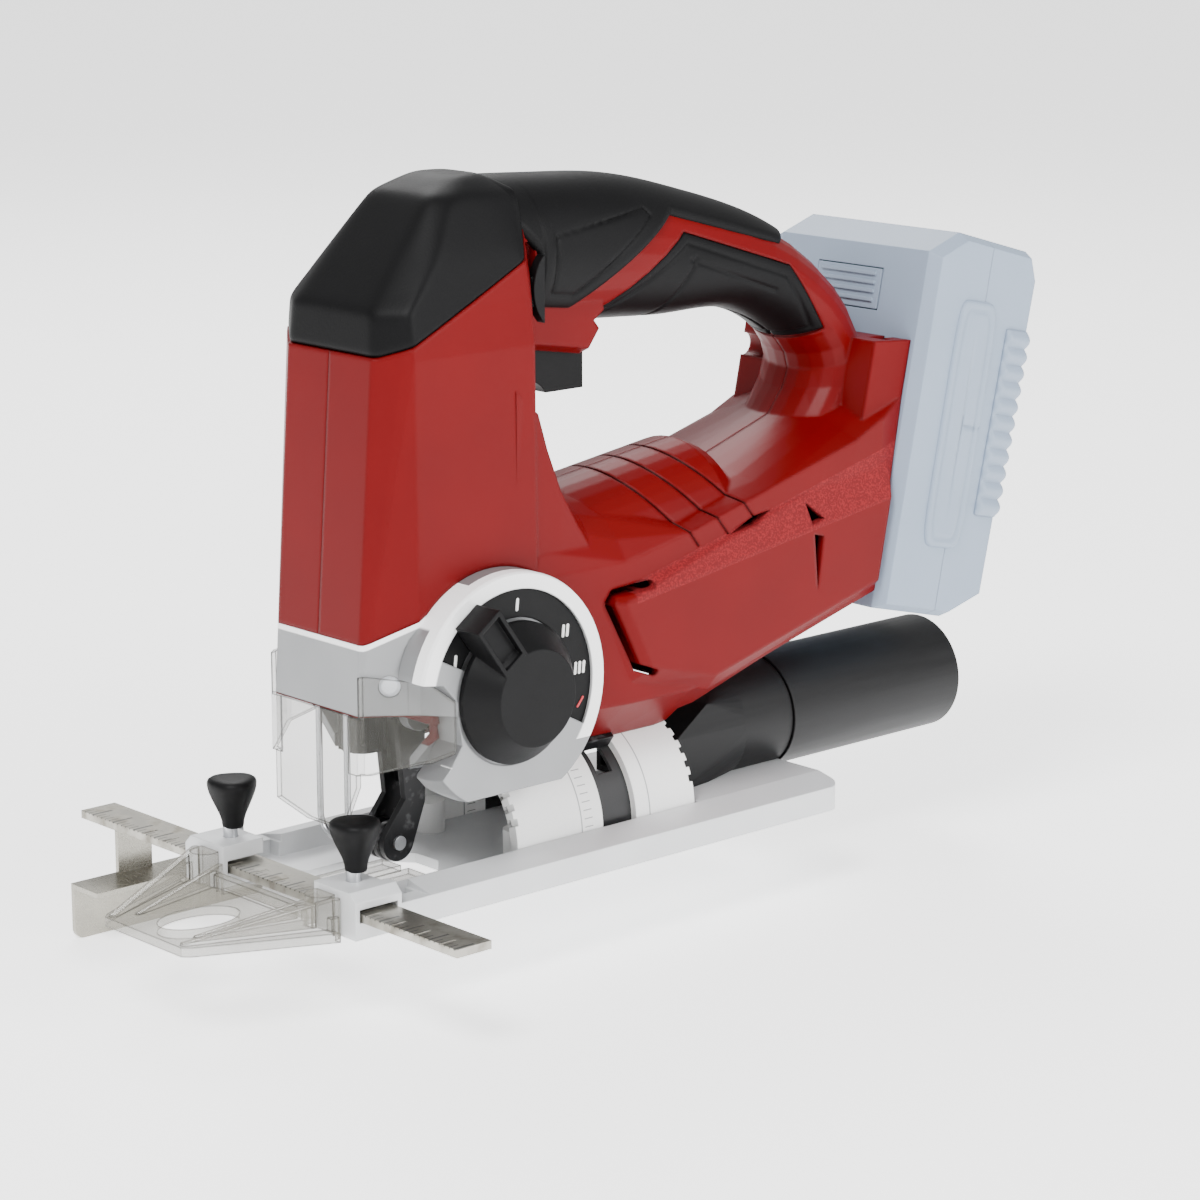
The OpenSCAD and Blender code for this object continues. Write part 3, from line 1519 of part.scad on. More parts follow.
housing_left();
housing_right();
head_cap();
handle_grip_top();
handle_grip_left();
handle_grip_right();
nose_cover();
dial_plate();
led_lens();
wire_guard();
gear_frame();
plunger_bushes();
gear_axle();
fork_pin();
bevel_saddle();
bevel_screw();
motor_can();
motor_bearings();
switch_module();
control_board();
terminal_block();
housing_screws();
armature();
motor_fan();
pinion();
crank_gear();
crank_roller();
scotch_yoke();
plunger_rod();
clamp_body();
clamp_collar();
guide_fork();
roller_pin();
guide_roller();
dial_knob();
dial_camshaft();
trigger();
trigger_spring();
lock_off_bar();
chip_guard();
sole_plate();
bevel_drum();
drum_screws();
dust_duct();
front_shoe();
guide_rail();
fence_plate();
screw_left();
screw_right();
knob_left();
knob_right();
dust_spout();
pack_front();
pack_rear();
pack_cells();
pack_button();
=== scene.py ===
"""Cordless jigsaw: finishes, moulded details and studio for the machine's frame."""

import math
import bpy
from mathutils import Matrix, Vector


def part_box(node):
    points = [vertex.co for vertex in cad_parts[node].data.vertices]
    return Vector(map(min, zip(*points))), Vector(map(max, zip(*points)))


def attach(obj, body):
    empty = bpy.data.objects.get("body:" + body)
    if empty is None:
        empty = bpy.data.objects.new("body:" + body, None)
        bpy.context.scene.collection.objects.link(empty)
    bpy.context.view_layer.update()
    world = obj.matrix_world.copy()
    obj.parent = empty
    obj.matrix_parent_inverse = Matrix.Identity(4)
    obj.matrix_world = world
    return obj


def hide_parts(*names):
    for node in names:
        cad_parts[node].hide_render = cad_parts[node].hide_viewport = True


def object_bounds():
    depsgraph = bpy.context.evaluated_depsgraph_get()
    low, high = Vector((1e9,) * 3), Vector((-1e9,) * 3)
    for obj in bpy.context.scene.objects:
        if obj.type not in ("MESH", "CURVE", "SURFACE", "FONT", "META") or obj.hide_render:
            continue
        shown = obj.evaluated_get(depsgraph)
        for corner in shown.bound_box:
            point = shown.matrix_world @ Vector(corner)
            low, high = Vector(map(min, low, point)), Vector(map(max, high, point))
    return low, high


bl_info = {
    "name": "Cordless jigsaw",
    "version": (1, 0, 0),
    "blender": (4, 5, 0),
    "location": "3D View > Sidebar > Jigsaw",
    "description": "Finishes and moulded details of a cordless pendulum jigsaw",
    "category": "Object",
}

import bpy
import numpy as np
from bpy.props import FloatProperty, FloatVectorProperty, IntProperty, PointerProperty
from mathutils import Vector

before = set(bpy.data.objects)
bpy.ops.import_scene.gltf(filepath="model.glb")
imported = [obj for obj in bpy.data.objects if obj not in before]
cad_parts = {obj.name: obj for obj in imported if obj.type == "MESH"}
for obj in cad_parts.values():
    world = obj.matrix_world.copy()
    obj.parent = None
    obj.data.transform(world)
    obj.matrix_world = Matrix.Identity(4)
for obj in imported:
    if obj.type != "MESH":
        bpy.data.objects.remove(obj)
MM = 0.001


def as_lists(box):
    """A box of two corners as plain lists of numbers."""
    return [[float(v) for v in corner] for corner in box]


CAD_BOX = as_lists(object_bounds())


# ---------------------------------------------------------------- sizes and colours


class JigsawSizes(bpy.types.PropertyGroup):
    """Sizes of the moulded details, in millimetres, and of the floor, in metres"""

    knob_radius: FloatProperty(
        name="Thumb knob radius", description="Widest radius of a thumb knob", default=7.2, min=5, max=9)
    knob_lobes: IntProperty(
        name="Thumb knob lobes", description="Number of soft corners round a thumb knob",
        default=3, min=3, max=6)
    mark_height: FloatProperty(
        name="Dial mark height", description="Height of the strokes on the pendulum dial",
        default=3.6, min=2, max=5)
    pack_ridges: IntProperty(
        name="Battery ridges", description="Number of finger ridges on the battery's back",
        default=11, min=6, max=16)
    ridge_depth: FloatProperty(
        name="Ridge depth", description="Height of a finger ridge", default=1.3, min=0.5, max=2)
    floor_size: FloatProperty(
        name="Floor", description="Side of the studio floor", default=16, min=4, max=40, unit="LENGTH")


class JigsawColours(bpy.types.PropertyGroup):
    """Colours of the finishes, linear"""

    shell: FloatVectorProperty(
        name="Shell", description="Moulded shells", subtype="COLOR", size=3, default=(0.125, 0.0008, 0.0016))
    strip: FloatVectorProperty(
        name="Strip", description="Grained strip above the side panel", subtype="COLOR", size=3,
        default=(0.17, 0.010, 0.012))
    rubber: FloatVectorProperty(
        name="Soft covers", description="Cap and handle covers", subtype="COLOR", size=3,
        default=(0.002, 0.002, 0.0023))
    silver: FloatVectorProperty(
        name="Nose", description="Painted nose cover", subtype="COLOR", size=3, default=(0.26, 0.265, 0.27))
    pack: FloatVectorProperty(
        name="Battery", description="Battery casing", subtype="COLOR", size=3, default=(0.25, 0.31, 0.40))


def sizes():
    """The sizes as the sidebar has them."""
    return bpy.context.scene.jigsaw_sizes


def colours():
    """The colours as the sidebar has them."""
    return bpy.context.scene.jigsaw_colours


# ---------------------------------------------------------------- places that the finishes follow

# Grained strip of the shells, in the side view: height at x = 0 and slope of its two edges, its front end,
# and how far out from the middle it starts
STRIP_TOP, STRIP_FOOT = (74.4, 0.2575), (71.0, 0.155)
STRIP_FRONT, STRIP_SIDE = 13.0, 26.0

# Upper edge of the silver nose: low as far back as NOSE_CORNER, then rising to its highest; and where the
# white highlight painted along it ends
NOSE_LOW, NOSE_HIGH, NOSE_CORNER, NOSE_SLOPE = 72.6, 88.0, -72.0, 0.54
NOSE_HIGHLIGHT_END = -47.0

# Room of the blade clamp in the nose, painted near black as shade: front and back, half width, top
BLADE_ROOM = ((-71.6, -48.0), 16.4, 62.0)

# Pendulum dial: middle in the side view, radius where the ring round its face starts, and how far out and how
# high the ring's face lies; the ring's face is painted white as a highlight
DIAL_X, DIAL_Z, DIAL_RADIUS = -35.0, 57.2, 28.0
RING_SIDE, RING_FOOT = -32.0, 40.0

# Bevel drum: height of its axis, the span of its strokes in front of the saddle, and its two rings, one in
# front of the saddle and one behind it
DRUM_Z = 8.0
DRUM_STROKES, DRUM_RINGS = (-7.0, -4.0), (-8.2, 5.6)

# Guide rail: length of its long and its short strokes
RAIL_LONG, RAIL_SHORT = 6.5, 3.0

# Motor: height of its axis and radius of its windings. Board: side of its contacts. Cells: end of the sleeve
MOTOR_Z, WINDING_RADIUS = 82.0, 12.9
BOARD_CONTACTS = 7.9
SLEEVE_END = 31.6

# Rays that a rounded edge is worked out with
EDGE_SAMPLES = 6


# ---------------------------------------------------------------- shader maths


class Value:
    """One output socket, with arithmetic that adds Math nodes."""

    def __init__(self, nodes, socket):
        self.nodes = nodes
        self.socket = socket

    def _math(self, operation, *values, clamp=False):
        return self.nodes.node("Math", {"operation": operation, "use_clamp": clamp}, *values)

    def __add__(self, other):
        return self._math("ADD", self, other)

    __radd__ = __add__

    def __sub__(self, other):
        return self._math("SUBTRACT", self, other)

    def __rsub__(self, other):
        return self._math("SUBTRACT", other, self)

    def __mul__(self, other):
        return self._math("MULTIPLY", self, other)

    __rmul__ = __mul__

    def __gt__(self, other):
        return self._math("GREATER_THAN", self, other)

    def __lt__(self, other):
        return self._math("LESS_THAN", self, other)

    def __abs__(self):
        return self._math("ABSOLUTE", self)

    def __mod__(self, other):
        return self._math("FLOORED_MODULO", self, other)

    def between(self, low, high):
        """1 where the value lies between low and high, else 0."""
        return (self > low) * (self < high)

    def least(self, other):
        return self._math("MINIMUM", self, other)

    def most(self, other):
        return self._math("MAXIMUM", self, other)

    def clamped(self):
        return self._math("ADD", self, 0.0, clamp=True)

    def root(self):
        return self._math("SQRT", self)


class Nodes:
    """A node tree that is being filled."""

    def __init__(self, tree):
        self.tree = tree

    def node(self, kind, settings, *values, out=0, **named):
        """Adds a node, sets it, fills its sockets in order or by name, and returns one output."""
        node = self.tree.nodes.new("ShaderNode" + kind)
        for key, value in settings.items():
            setattr(node, key, value)
        for socket, value in zip([s for s in node.inputs if s.enabled], values):
            self.feed(socket, value)
        self.fill(node, **named)
        return Value(self, node.outputs[out])

    def fill(self, node, **named):
        """Sets or links a node's sockets by name: fill(shader, roughness=0.4)."""
        for key, value in named.items():
            wanted = key.replace("_", " ")
            self.feed(next(s for s in node.inputs if s.enabled and s.name.lower() == wanted), value)

    def feed(self, socket, value):
        """Links a socket to a Value, or sets it to a number, a vector or a colour."""
        if isinstance(value, Value):
            self.tree.links.new(value.socket, socket)
        elif hasattr(value, "__len__") and len(value) == 3 and len(socket.default_value) == 4:
            socket.default_value = (*value, 1)
        else:
            socket.default_value = value


class Finish(Nodes):
    """A material being put together: one Principled shader and the nodes that feed it."""

    def __init__(self, name):
        material = bpy.data.materials.new("finish_" + name)
        material.use_nodes = True
        super().__init__(material.node_tree)
        self.tree.nodes.clear()
        self.shader = self.tree.nodes.new("ShaderNodeBsdfPrincipled")
        output = self.tree.nodes.new("ShaderNodeOutputMaterial")
        self.tree.links.new(self.shader.outputs[0], output.inputs["Surface"])
        place = self.node("TexCoord", {}, out="Object")
        self.place = self.node("VectorMath", {"operation": "SCALE"}, place, scale=1 / MM)
        parts = self.node("SeparateXYZ", {}, self.place).socket.node
        self.x, self.y, self.z = (Value(self, part) for part in parts.outputs)

    def set(self, **named):
        """Sets or links the shader's sockets by name."""
        self.fill(self.shader, **named)

    def noise(self, size, detail=3.0, stretch=(1, 1, 1)):
        """Noise from 0 to 1 whose features are about size millimetres across."""
        place = self.node("VectorMath", {"operation": "MULTIPLY"}, self.place, stretch)
        return self.node("TexNoise", {}, place, scale=1 / size, detail=detail)

    def cells(self, size):
        """Distance pattern of small cells about size millimetres across."""
        return self.node("TexVoronoi", {}, self.place, scale=1 / size)

    def ramp(self, value, low, high):
        """Smooth step from 0 to 1 of a value between low and high."""
        return self.node("MapRange", {"interpolation_type": "SMOOTHSTEP"}, value, low, high, 0.0, 1.0)

    def mix(self, mask, first, second):
        """Colour that goes from first to second as the mask goes from 0 to 1."""
        return self.node("Mix", {"data_type": "RGBA"}, mask, first, second, out=2)

    def rounded(self, radius):
        """Normal with edges rounded by radius millimetres."""
        return self.node("Bevel", {"samples": EDGE_SAMPLES}, radius * MM)

    def relief(self, height, strength, depth, edge):
        """Bump of a height, depth millimetres deep, over edges rounded by edge millimetres."""
        under = {"normal": self.rounded(edge)} if edge else {}
        bump = self.node("Bump", {}, strength=strength, distance=depth * MM, height=height, **under)
        self.set(normal=bump)


def shade(colour, factor):
    """The colour made lighter or darker."""
    return tuple(min(1.0, c * factor) for c in colour)


# ---------------------------------------------------------------- finishes


def shell_red():
    """Satin moulded plastic, with a grained pale strip above the side panel and a fine parting line."""
    f = Finish("shell_red")
    base, strip = tuple(colours().shell), tuple(colours().strip)
    grain = f.noise(0.5, 4)
    cloud = f.noise(26, 2)
    tone = f.mix(cloud, shade(base, 0.86), shade(base, 1.12))
    sparkle = f.ramp(f.noise(0.6, 2), 0.45, 0.62)
    grained = f.mix(sparkle, shade(strip, 0.78), shade(strip, 1.25))
    top, foot = (height + f.x * slope for height, slope in (STRIP_TOP, STRIP_FOOT))
    inside = f.z.between(foot, top) * (f.x > STRIP_FRONT) * (abs(f.y) > STRIP_SIDE)
    colour = f.mix(inside, tone, grained)
    seam = 1.0 - f.ramp(abs(f.y), 0.06, 0.16)
    colour = f.mix(seam * 0.35, colour, shade(base, 0.3))
    f.set(base_color=colour, roughness=0.34 + grain * 0.1 + inside * 0.2, specular_ior_level=0.13)
    f.relief(grain * 0.35 + cloud - seam + inside * sparkle * 2.0, strength=0.25, depth=0.12, edge=1.6)


def soft_cover():
    """Matt rubber with a fine stipple."""
    f = Finish("soft_cover")
    base = tuple(colours().rubber)
    stipple = f.cells(0.7)
    wear = f.noise(14, 3)
    f.set(base_color=f.mix(wear, shade(base, 0.8), shade(base, 1.5)), roughness=0.42 + wear * 0.16,
          specular_ior_level=0.12)
    f.relief(f.ramp(stipple, 0.1, 0.6), strength=0.2, depth=0.06, edge=1.2)


def silver_paint():
    """Satin silver paint: painted white highlight along its upper edge and the dial's ring, painted black
    shade in the blade's room.
    """
    f = Finish("silver_paint")
    base = tuple(colours().silver)
    flake = f.noise(0.35, 2)
    cloud = f.noise(18, 2)
    top = (NOSE_LOW + (f.x - NOSE_CORNER).most(0.0) * NOSE_SLOPE).least(NOSE_HIGH)
    across, up = f.x - DIAL_X, f.z - DIAL_Z
    from_dial = (across * across + up * up).root()
    # Painted highlight: white on the ring round the dial's face and along the nose's upper edge
    ring_highlight = f.ramp(from_dial, DIAL_RADIUS - 0.4, DIAL_RADIUS + 0.4)
    ring_highlight = ring_highlight * (f.y < RING_SIDE) * (f.z > RING_FOOT)
    painted_highlight = (f.ramp(top - f.z, 1.7, 1.2) * (f.x < NOSE_HIGHLIGHT_END)).most(ring_highlight)
    colour = f.mix(painted_highlight, f.mix(cloud, shade(base, 0.9), shade(base, 1.1)), (0.95, 0.95, 0.95))
    # Painted shade: the nose is coloured near black inside the blade clamp's room
    room_x, room_half, room_top = BLADE_ROOM
    room = f.x.between(*room_x) * (abs(f.y) < room_half) * (f.z < room_top)
    colour = f.mix(room, colour, (0.012, 0.012, 0.013))
    f.set(base_color=colour, metallic=0.5 * (1.0 - painted_highlight.most(room)), roughness=0.32 + flake * 0.12)
    f.relief(flake + painted_highlight * 6.0, strength=0.15, depth=0.08, edge=0.6)


def black_plastic():
    """Fine-textured black moulding."""
    f = Finish("black_plastic")
    grain = f.noise(0.4, 4)
    cloud = f.noise(11, 3)
    f.set(base_color=f.mix(cloud, (0.0018, 0.0018, 0.002), (0.0045, 0.0045, 0.005)),
          roughness=0.4 + grain * 0.16, specular_ior_level=0.14)
    f.relief(grain, strength=0.3, depth=0.1, edge=0.6)


def duct_black():
    """Coarser black plastic of the dust pipe, with faint draw lines along it."""
    f = Finish("duct_black")
    grain = f.noise(0.5, 4)
    streak = f.noise(2.2, 3, stretch=(0.06, 1, 1))
    f.set(base_color=f.mix(streak, (0.0025, 0.0025, 0.003), (0.009, 0.009, 0.0095)),
          roughness=0.36 + streak * 0.2, specular_ior_level=0.25)
    f.relief(grain * 0.6 + streak, strength=0.25, depth=0.12, edge=0.6)


def clear_plastic(name, cover, slanted, tint, rim):
    """Clear moulding. It hides the share cover of what is behind it, up to the share slanted more where it is
    seen edge on, and most along its rounded edges, which take the rim's colour as painted dark edge shade."""
    f = Finish(name)
    facing = f.node("LayerWeight", {}, 0.5, out="Facing")
    flat = f.node("NewGeometry", {}, out="Normal")
    turned = f.node("VectorMath", {"operation": "DOT_PRODUCT"}, f.rounded(0.9), flat, out="Value")
    # Painted shade: the rounded edges are coloured with the dark rim colour
    edge = f.ramp(turned, 0.99, 0.8)
    smear = f.noise(9, 3)
    colour = f.mix(edge, f.mix(smear, shade(tint, 0.85), tint), rim)
    f.set(base_color=colour, roughness=0.06 + smear * 0.1, ior=1.49, specular_ior_level=0.5,
          alpha=(cover + facing * slanted + smear * 0.04 + edge * 0.75).clamped())
    f.relief(smear, strength=0.1, depth=0.2, edge=0.3)


def steel(name, colour, roughness, stretch=(1, 1, 1), edge=0.15):
    """Turned or drawn steel with fine tool lines."""
    f = Finish(name)
    line = f.noise(0.35, 4, stretch=stretch)
    cloud = f.noise(7, 3)
    f.set(base_color=f.mix(cloud, shade(colour, 0.8), shade(colour, 1.12)), metallic=0.95,
          roughness=roughness + line * 0.16)
    f.relief(line, strength=0.2, depth=0.05, edge=edge)


def black_oxide():
    """Dark oiled steel with bare metal showing in small rubs."""
    f = Finish("black_oxide")
    rub = f.ramp(f.noise(3.2, 5), 0.56, 0.72)
    f.set(base_color=f.mix(rub, (0.005, 0.005, 0.006), (0.06, 0.06, 0.063)), metallic=0.4,
          roughness=0.36 + rub * 0.12)
    f.relief(rub, strength=0.15, depth=0.06, edge=0.3)


def cast_sole():
    """Cast and tumbled aluminium: fine pits, faint long scratches."""
    f = Finish("cast_sole")
    pits = f.cells(1.1)
    scratch = f.noise(0.6, 3, stretch=(0.05, 1, 1))
    cloud = f.noise(22, 3)
    f.set(base_color=f.mix(cloud, (0.56, 0.57, 0.58), (0.7, 0.71, 0.72)), metallic=0.25,
          roughness=0.38 + scratch * 0.18)
    f.relief(f.ramp(pits, 0.05, 0.5) * 0.5 + scratch, strength=0.2, depth=0.08, edge=0.5)


def frame_alloy():
    """Die-cast alloy of the gear frame."""
    f = Finish("frame_alloy")
    grain = f.noise(0.8, 4)
    f.set(base_color=f.mix(grain, (0.4, 0.41, 0.42), (0.6, 0.61, 0.62)), metallic=0.8,
          roughness=0.42 + grain * 0.16)
    f.relief(grain, strength=0.3, depth=0.1, edge=0.3)


def white_drum():
    """White plastic of the bevel drum, painted near black as shade in the saddle's recess; marked with a
    stroke each 5 degrees and two rings.
    """
    f = Finish("white_drum")
    low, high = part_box("bevel_saddle")
    front, back = low.x / MM, high.x / MM
    grain = f.noise(0.5, 3)
    # Painted shade: where the saddle's recess covers the drum it is coloured near black
    recess = f.x.between(front - 0.2, back + 0.2)
    angle = f.node("Math", {"operation": "ARCTAN2"}, abs(f.y), f.z - DRUM_Z) * (180 / math.pi)
    stroke_start, stroke_end = (front + gap for gap in DRUM_STROKES)
    stroke = (abs(angle % 5.0 - 2.5) > 2.2) * f.x.between(stroke_start, stroke_end)
    from_ring = abs(f.x - (front + DRUM_RINGS[0])).least(abs(f.x - (back + DRUM_RINGS[1])))
    line = (stroke + (1.0 - f.ramp(from_ring, 0.12, 0.3))).clamped() * 0.75
    white = f.mix(grain, (0.86, 0.86, 0.85), (0.94, 0.94, 0.93))
    f.set(base_color=f.mix(recess, f.mix(line, white, (0.12, 0.12, 0.13)), (0.012, 0.012, 0.013)),
          roughness=0.36 + grain * 0.12)
    f.relief(grain - line * 2.0, strength=0.2, depth=0.08, edge=0.4)


def nickel_rail():
    """Nickel-plated strip: drawn lines across, and on its top face a long dark stroke each 10 mm and a short
    one each 2 mm."""
    f = Finish("nickel_rail")
    low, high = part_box("guide_rail")
    front = low.x / MM
    draw = f.noise(0.4, 3, stretch=(1, 0.05, 1))
    tarnish = f.ramp(f.noise(6, 5), 0.4, 0.75)
    long_mark = (abs(f.y % 10.0 - 5.0) < 0.45) * (f.x < front + RAIL_LONG)
    short_mark = (abs(f.y % 2.0 - 1.0) < 0.22) * (f.x < front + RAIL_SHORT)
    top = f.z > high.z / MM - 0.4
    mark = (long_mark + short_mark).clamped() * top
    base = f.mix(tarnish, (0.42, 0.405, 0.36), (0.2, 0.185, 0.15))
    f.set(base_color=f.mix(mark * 0.85, base, (0.03, 0.03, 0.03)), metallic=0.9 - mark * 0.6,
          roughness=0.24 + tarnish * 0.2 + draw * 0.1)
    f.relief(draw - mark, strength=0.2, depth=0.06, edge=0.25)


def pack_casing():
    """Pale casing of the battery, lightly grained."""
    f = Finish("pack_casing")
    base = tuple(colours().pack)
    grain = f.noise(0.5, 4)
    cloud = f.noise(30, 2)
    f.set(base_color=f.mix(cloud, shade(base, 0.92), shade(base, 1.08)), roughness=0.4 + grain * 0.12)
    f.relief(grain, strength=0.25, depth=0.1, edge=0.7)


def copper_and_laminations():
    """Armature: thin steel sheets across the shaft, and copper windings nearer to it."""
    f = Finish("armature_core")
    sheet = abs(f.x % 0.7 - 0.35) > 0.28
    wire = f.noise(0.5, 3, stretch=(0.2, 1, 1))
    up = f.z - MOTOR_Z
    slot = (f.y * f.y + up * up).root() < WINDING_RADIUS
    colour = f.mix(slot, f.mix(sheet, (0.5, 0.5, 0.52), (0.14, 0.14, 0.15)),
                   f.mix(wire, (0.35, 0.12, 0.04), (0.72, 0.33, 0.14)))
    f.set(base_color=colour, metallic=0.8, roughness=0.3 + wire * 0.2)
    f.relief(wire, strength=0.3, depth=0.1, edge=0.0)


def circuit_board():
    """Green board with darker tracks and metal contacts on its side."""
    f = Finish("circuit_board")
    wave = f.node("TexWave", {}, f.place, scale=0.08, distortion=6.0, out="Fac")
    track = f.ramp(abs(wave - 0.5), 0.1, 0.16)
    metal = f.y < BOARD_CONTACTS
    colour = f.mix(metal, f.mix(track, (0.01, 0.12, 0.04), (0.02, 0.2, 0.07)), (0.35, 0.35, 0.36))
    f.set(base_color=colour, roughness=0.35 + track * 0.1, metallic=metal * 0.7)
    f.relief(track, strength=0.2, depth=0.05, edge=0.2)


def cell_sleeve():
    """Shrink sleeve round each cell, with bare ends."""
    f = Finish("cell_sleeve")
    end = abs(f.y) > SLEEVE_END
    wrinkle = f.noise(1.4, 4, stretch=(1, 0.2, 1))
    f.set(base_color=f.mix(end, f.mix(wrinkle, (0.02, 0.16, 0.11), (0.04, 0.24, 0.17)), (0.6, 0.6, 0.6)),
          roughness=0.25 + wrinkle * 0.15, metallic=end * 0.9)
    f.relief(wrinkle, strength=0.2, depth=0.1, edge=0.3)


def bronze():
    """Oil-filled sintered bronze."""
    f = Finish("bronze")
    cell = f.cells(0.5)
    pore = f.ramp(cell, 0.1, 0.4)
    f.set(base_color=f.mix(pore, (0.2, 0.11, 0.04), (0.58, 0.36, 0.15)), metallic=0.85,
          roughness=0.4 + cell * 0.1)
    f.relief(pore, strength=0.3, depth=0.05, edge=0.1)


def paint(name, colour):
    """Printed mark, slightly worn."""
    f = Finish(name)
    worn = f.noise(0.8, 4)
    f.set(base_color=f.mix(worn, shade(colour, 0.85), shade(colour, 1.1)), roughness=0.4 + worn * 0.1)
    f.relief(worn, strength=0.1, depth=0.03, edge=0.0)


def lens_clear():
    """Moulded lens of the work light."""
    f = Finish("lens_clear")
    wave = f.noise(1.2, 2)
    f.set(base_color=f.mix(wave, (0.85, 0.9, 1.0), (1.0, 1.0, 1.0)), roughness=0.05 + wave * 0.05, alpha=0.9)
    f.relief(wave, strength=0.2, depth=0.1, edge=0.2)


def floor_paper():
    """Glowing white paper of the studio floor."""
    f = Finish("floor_paper")
    grain = f.noise(300, 3)
    f.set(base_color=f.mix(grain, (0.9, 0.9, 0.9), (0.94, 0.94, 0.94)), roughness=0.9,
          emission_color=(1.0, 1.0, 1.0), emission_strength=1.5)


FINISHED_NODES = {
    "shell_red": ("housing_left", "housing_right"),
    "soft_cover": ("head_cap", "handle_grip_top", "handle_grip_left", "handle_grip_right"),
    "silver_paint": ("nose_cover",),
    "black_plastic": ("dial_plate", "dial_knob", "trigger", "lock_off_bar", "switch_module", "terminal_block",
                      "motor_fan", "clamp_collar", "knob_left", "knob_right"),
    "duct_black": ("dust_duct", "dust_spout"),
    "guard_clear": ("chip_guard",),
    "shoe_clear": ("front_shoe",),
    "turned_steel": ("wire_guard", "gear_axle", "fork_pin", "bevel_screw", "motor_can", "motor_bearings",
                     "housing_screws", "pinion", "crank_gear", "crank_roller", "scotch_yoke", "plunger_rod",
                     "roller_pin", "dial_camshaft", "trigger_spring", "drum_screws", "screw_left",
                     "screw_right"),
    "black_oxide": ("bevel_saddle", "clamp_body", "guide_fork", "guide_roller"),
    "cast_sole": ("sole_plate",),
    "frame_alloy": ("gear_frame",),
    "white_drum": ("bevel_drum",),
    "nickel_rail": ("guide_rail",),
    "nickel_fence": ("fence_plate",),
    "pack_casing": ("pack_front", "pack_rear", "pack_button"),
    "armature_core": ("armature",),
    "circuit_board": ("control_board",),
    "cell_sleeve": ("pack_cells",),
    "bronze": ("plunger_bushes",),
    "lens_clear": ("led_lens",),
}


def make_finishes():
    """Makes every finish of the machine once. They are kept by name."""
    shell_red()
    soft_cover()
    silver_paint()
    black_plastic()
    duct_black()
    # rim is the dark colour painted along the clear mouldings' edges as shade
    clear_plastic("guard_clear", cover=0.06, slanted=0.34,
                  tint=(0.22, 0.215, 0.19), rim=(0.012, 0.012, 0.011))
    clear_plastic("shoe_clear", cover=0.14, slanted=0.5,
                  tint=(0.3, 0.285, 0.24), rim=(0.035, 0.033, 0.028))
    steel("turned_steel", (0.55, 0.56, 0.58), roughness=0.22)
    steel("nickel_fence", (0.36, 0.345, 0.30), roughness=0.2, stretch=(1, 0.1, 1), edge=0.3)
    black_oxide()
    cast_sole()
    frame_alloy()
    white_drum()
    nickel_rail()
    pack_casing()
    copper_and_laminations()
    circuit_board()
    cell_sleeve()
    bronze()
    lens_clear()
    paint("mark_white", (0.78, 0.78, 0.76))
    paint("mark_red", (0.5, 0.02, 0.03))


def coat(obj, finish):
    """Gives an object one finish on all its faces."""
    obj.data.materials.clear()
    obj.data.materials.append(bpy.data.materials["finish_" + finish])
    obj.data.polygons.foreach_set("material_index", np.zeros(len(obj.data.polygons), np.int32))
    return obj


# ---------------------------------------------------------------- surfaces


def sheet_mesh(name, points, wrap=True, cap=False):
    """Smooth mesh of a grid of points in millimetres, rows by columns, with a face between each point and the
    next ones. The columns close on themselves with wrap, and cap shuts the first and the last row with one
    face each."""
    points = np.asarray(points, float)
    rows, cols = points.shape[:2]
    start = np.arange(rows - 1)[:, None] * cols
    j = np.arange(cols if wrap else cols - 1)[None, :]
    after = (j + 1) % cols
    faces = np.stack([start + j, start + after, start + cols + after, start + cols + j], -1)
    faces = faces.reshape(-1, 4).tolist()
    if cap:
        faces.append(list(range(cols))[::-1])
        faces.append(list(range((rows - 1) * cols, rows * cols)))
    mesh = bpy.data.meshes.new(name)
    mesh.from_pydata((points.reshape(-1, 3) * MM).tolist(), [], faces)
    mesh.polygons.foreach_set("use_smooth", np.ones(len(mesh.polygons), bool))
    obj = bpy.data.objects.new(name, mesh)
    bpy.context.scene.collection.objects.link(obj)
    return obj


def ring(count):
    """Angles once round, without the end."""
    return np.arange(count) * (2 * math.pi / count)


def edged(count, edge=0.012):
    """Fractions from 0 to 1 that crowd together at both ends, where a sheet's border is rolled."""
    near = edge * np.array([0, 0.12, 0.35, 0.65, 1.0])
    return np.concatenate([near, np.linspace(edge, 1 - edge, count)[1:-1], 1 - near[::-1]])


def quarter_round(distance, radius):
    """Height of a rolled border: a quarter circle that rises from 0 at the border to 1 at radius from it."""
    return np.sqrt(1 - np.clip(1 - distance / radius, 0, 1) ** 2)


def smooth_stations(table, count):
    """Stations on a curve through all the rows of a table: cubic pieces whose slope at each row is half the
    step between its neighbours. count values are spread evenly over each piece."""
    table = np.asarray(table, float)
    padded = np.concatenate([table[:1], table, table[-1:]])
    s = np.linspace(0, len(table) - 1, count * (len(table) - 1) + 1)
    i = np.minimum(s.astype(int), len(table) - 2)
    t = (s - i)[:, None]
    a, b, c, d = (padded[i + k] for k in range(4))
    bend, twist = 2 * a - 5 * b + 4 * c - d, 3 * b - a - 3 * c + d
    return 0.5 * (2 * b + (c - a) * t + bend * t ** 2 + twist * t ** 3)


def line_gap(x, z, points):
    """Distance in the side view from each place to a chain of points."""
    gap = np.full(np.broadcast(x, z).shape, 1e9)
    for (ax, az), (bx, bz) in zip(points, points[1:]):
        t = np.clip(((x - ax) * (bx - ax) + (z - az) * (bz - az)) / ((bx - ax) ** 2 + (bz - az) ** 2), 0, 1)
        gap = np.minimum(gap, np.hypot(x - ax - t * (bx - ax), z - az - t * (bz - az)))
    return gap


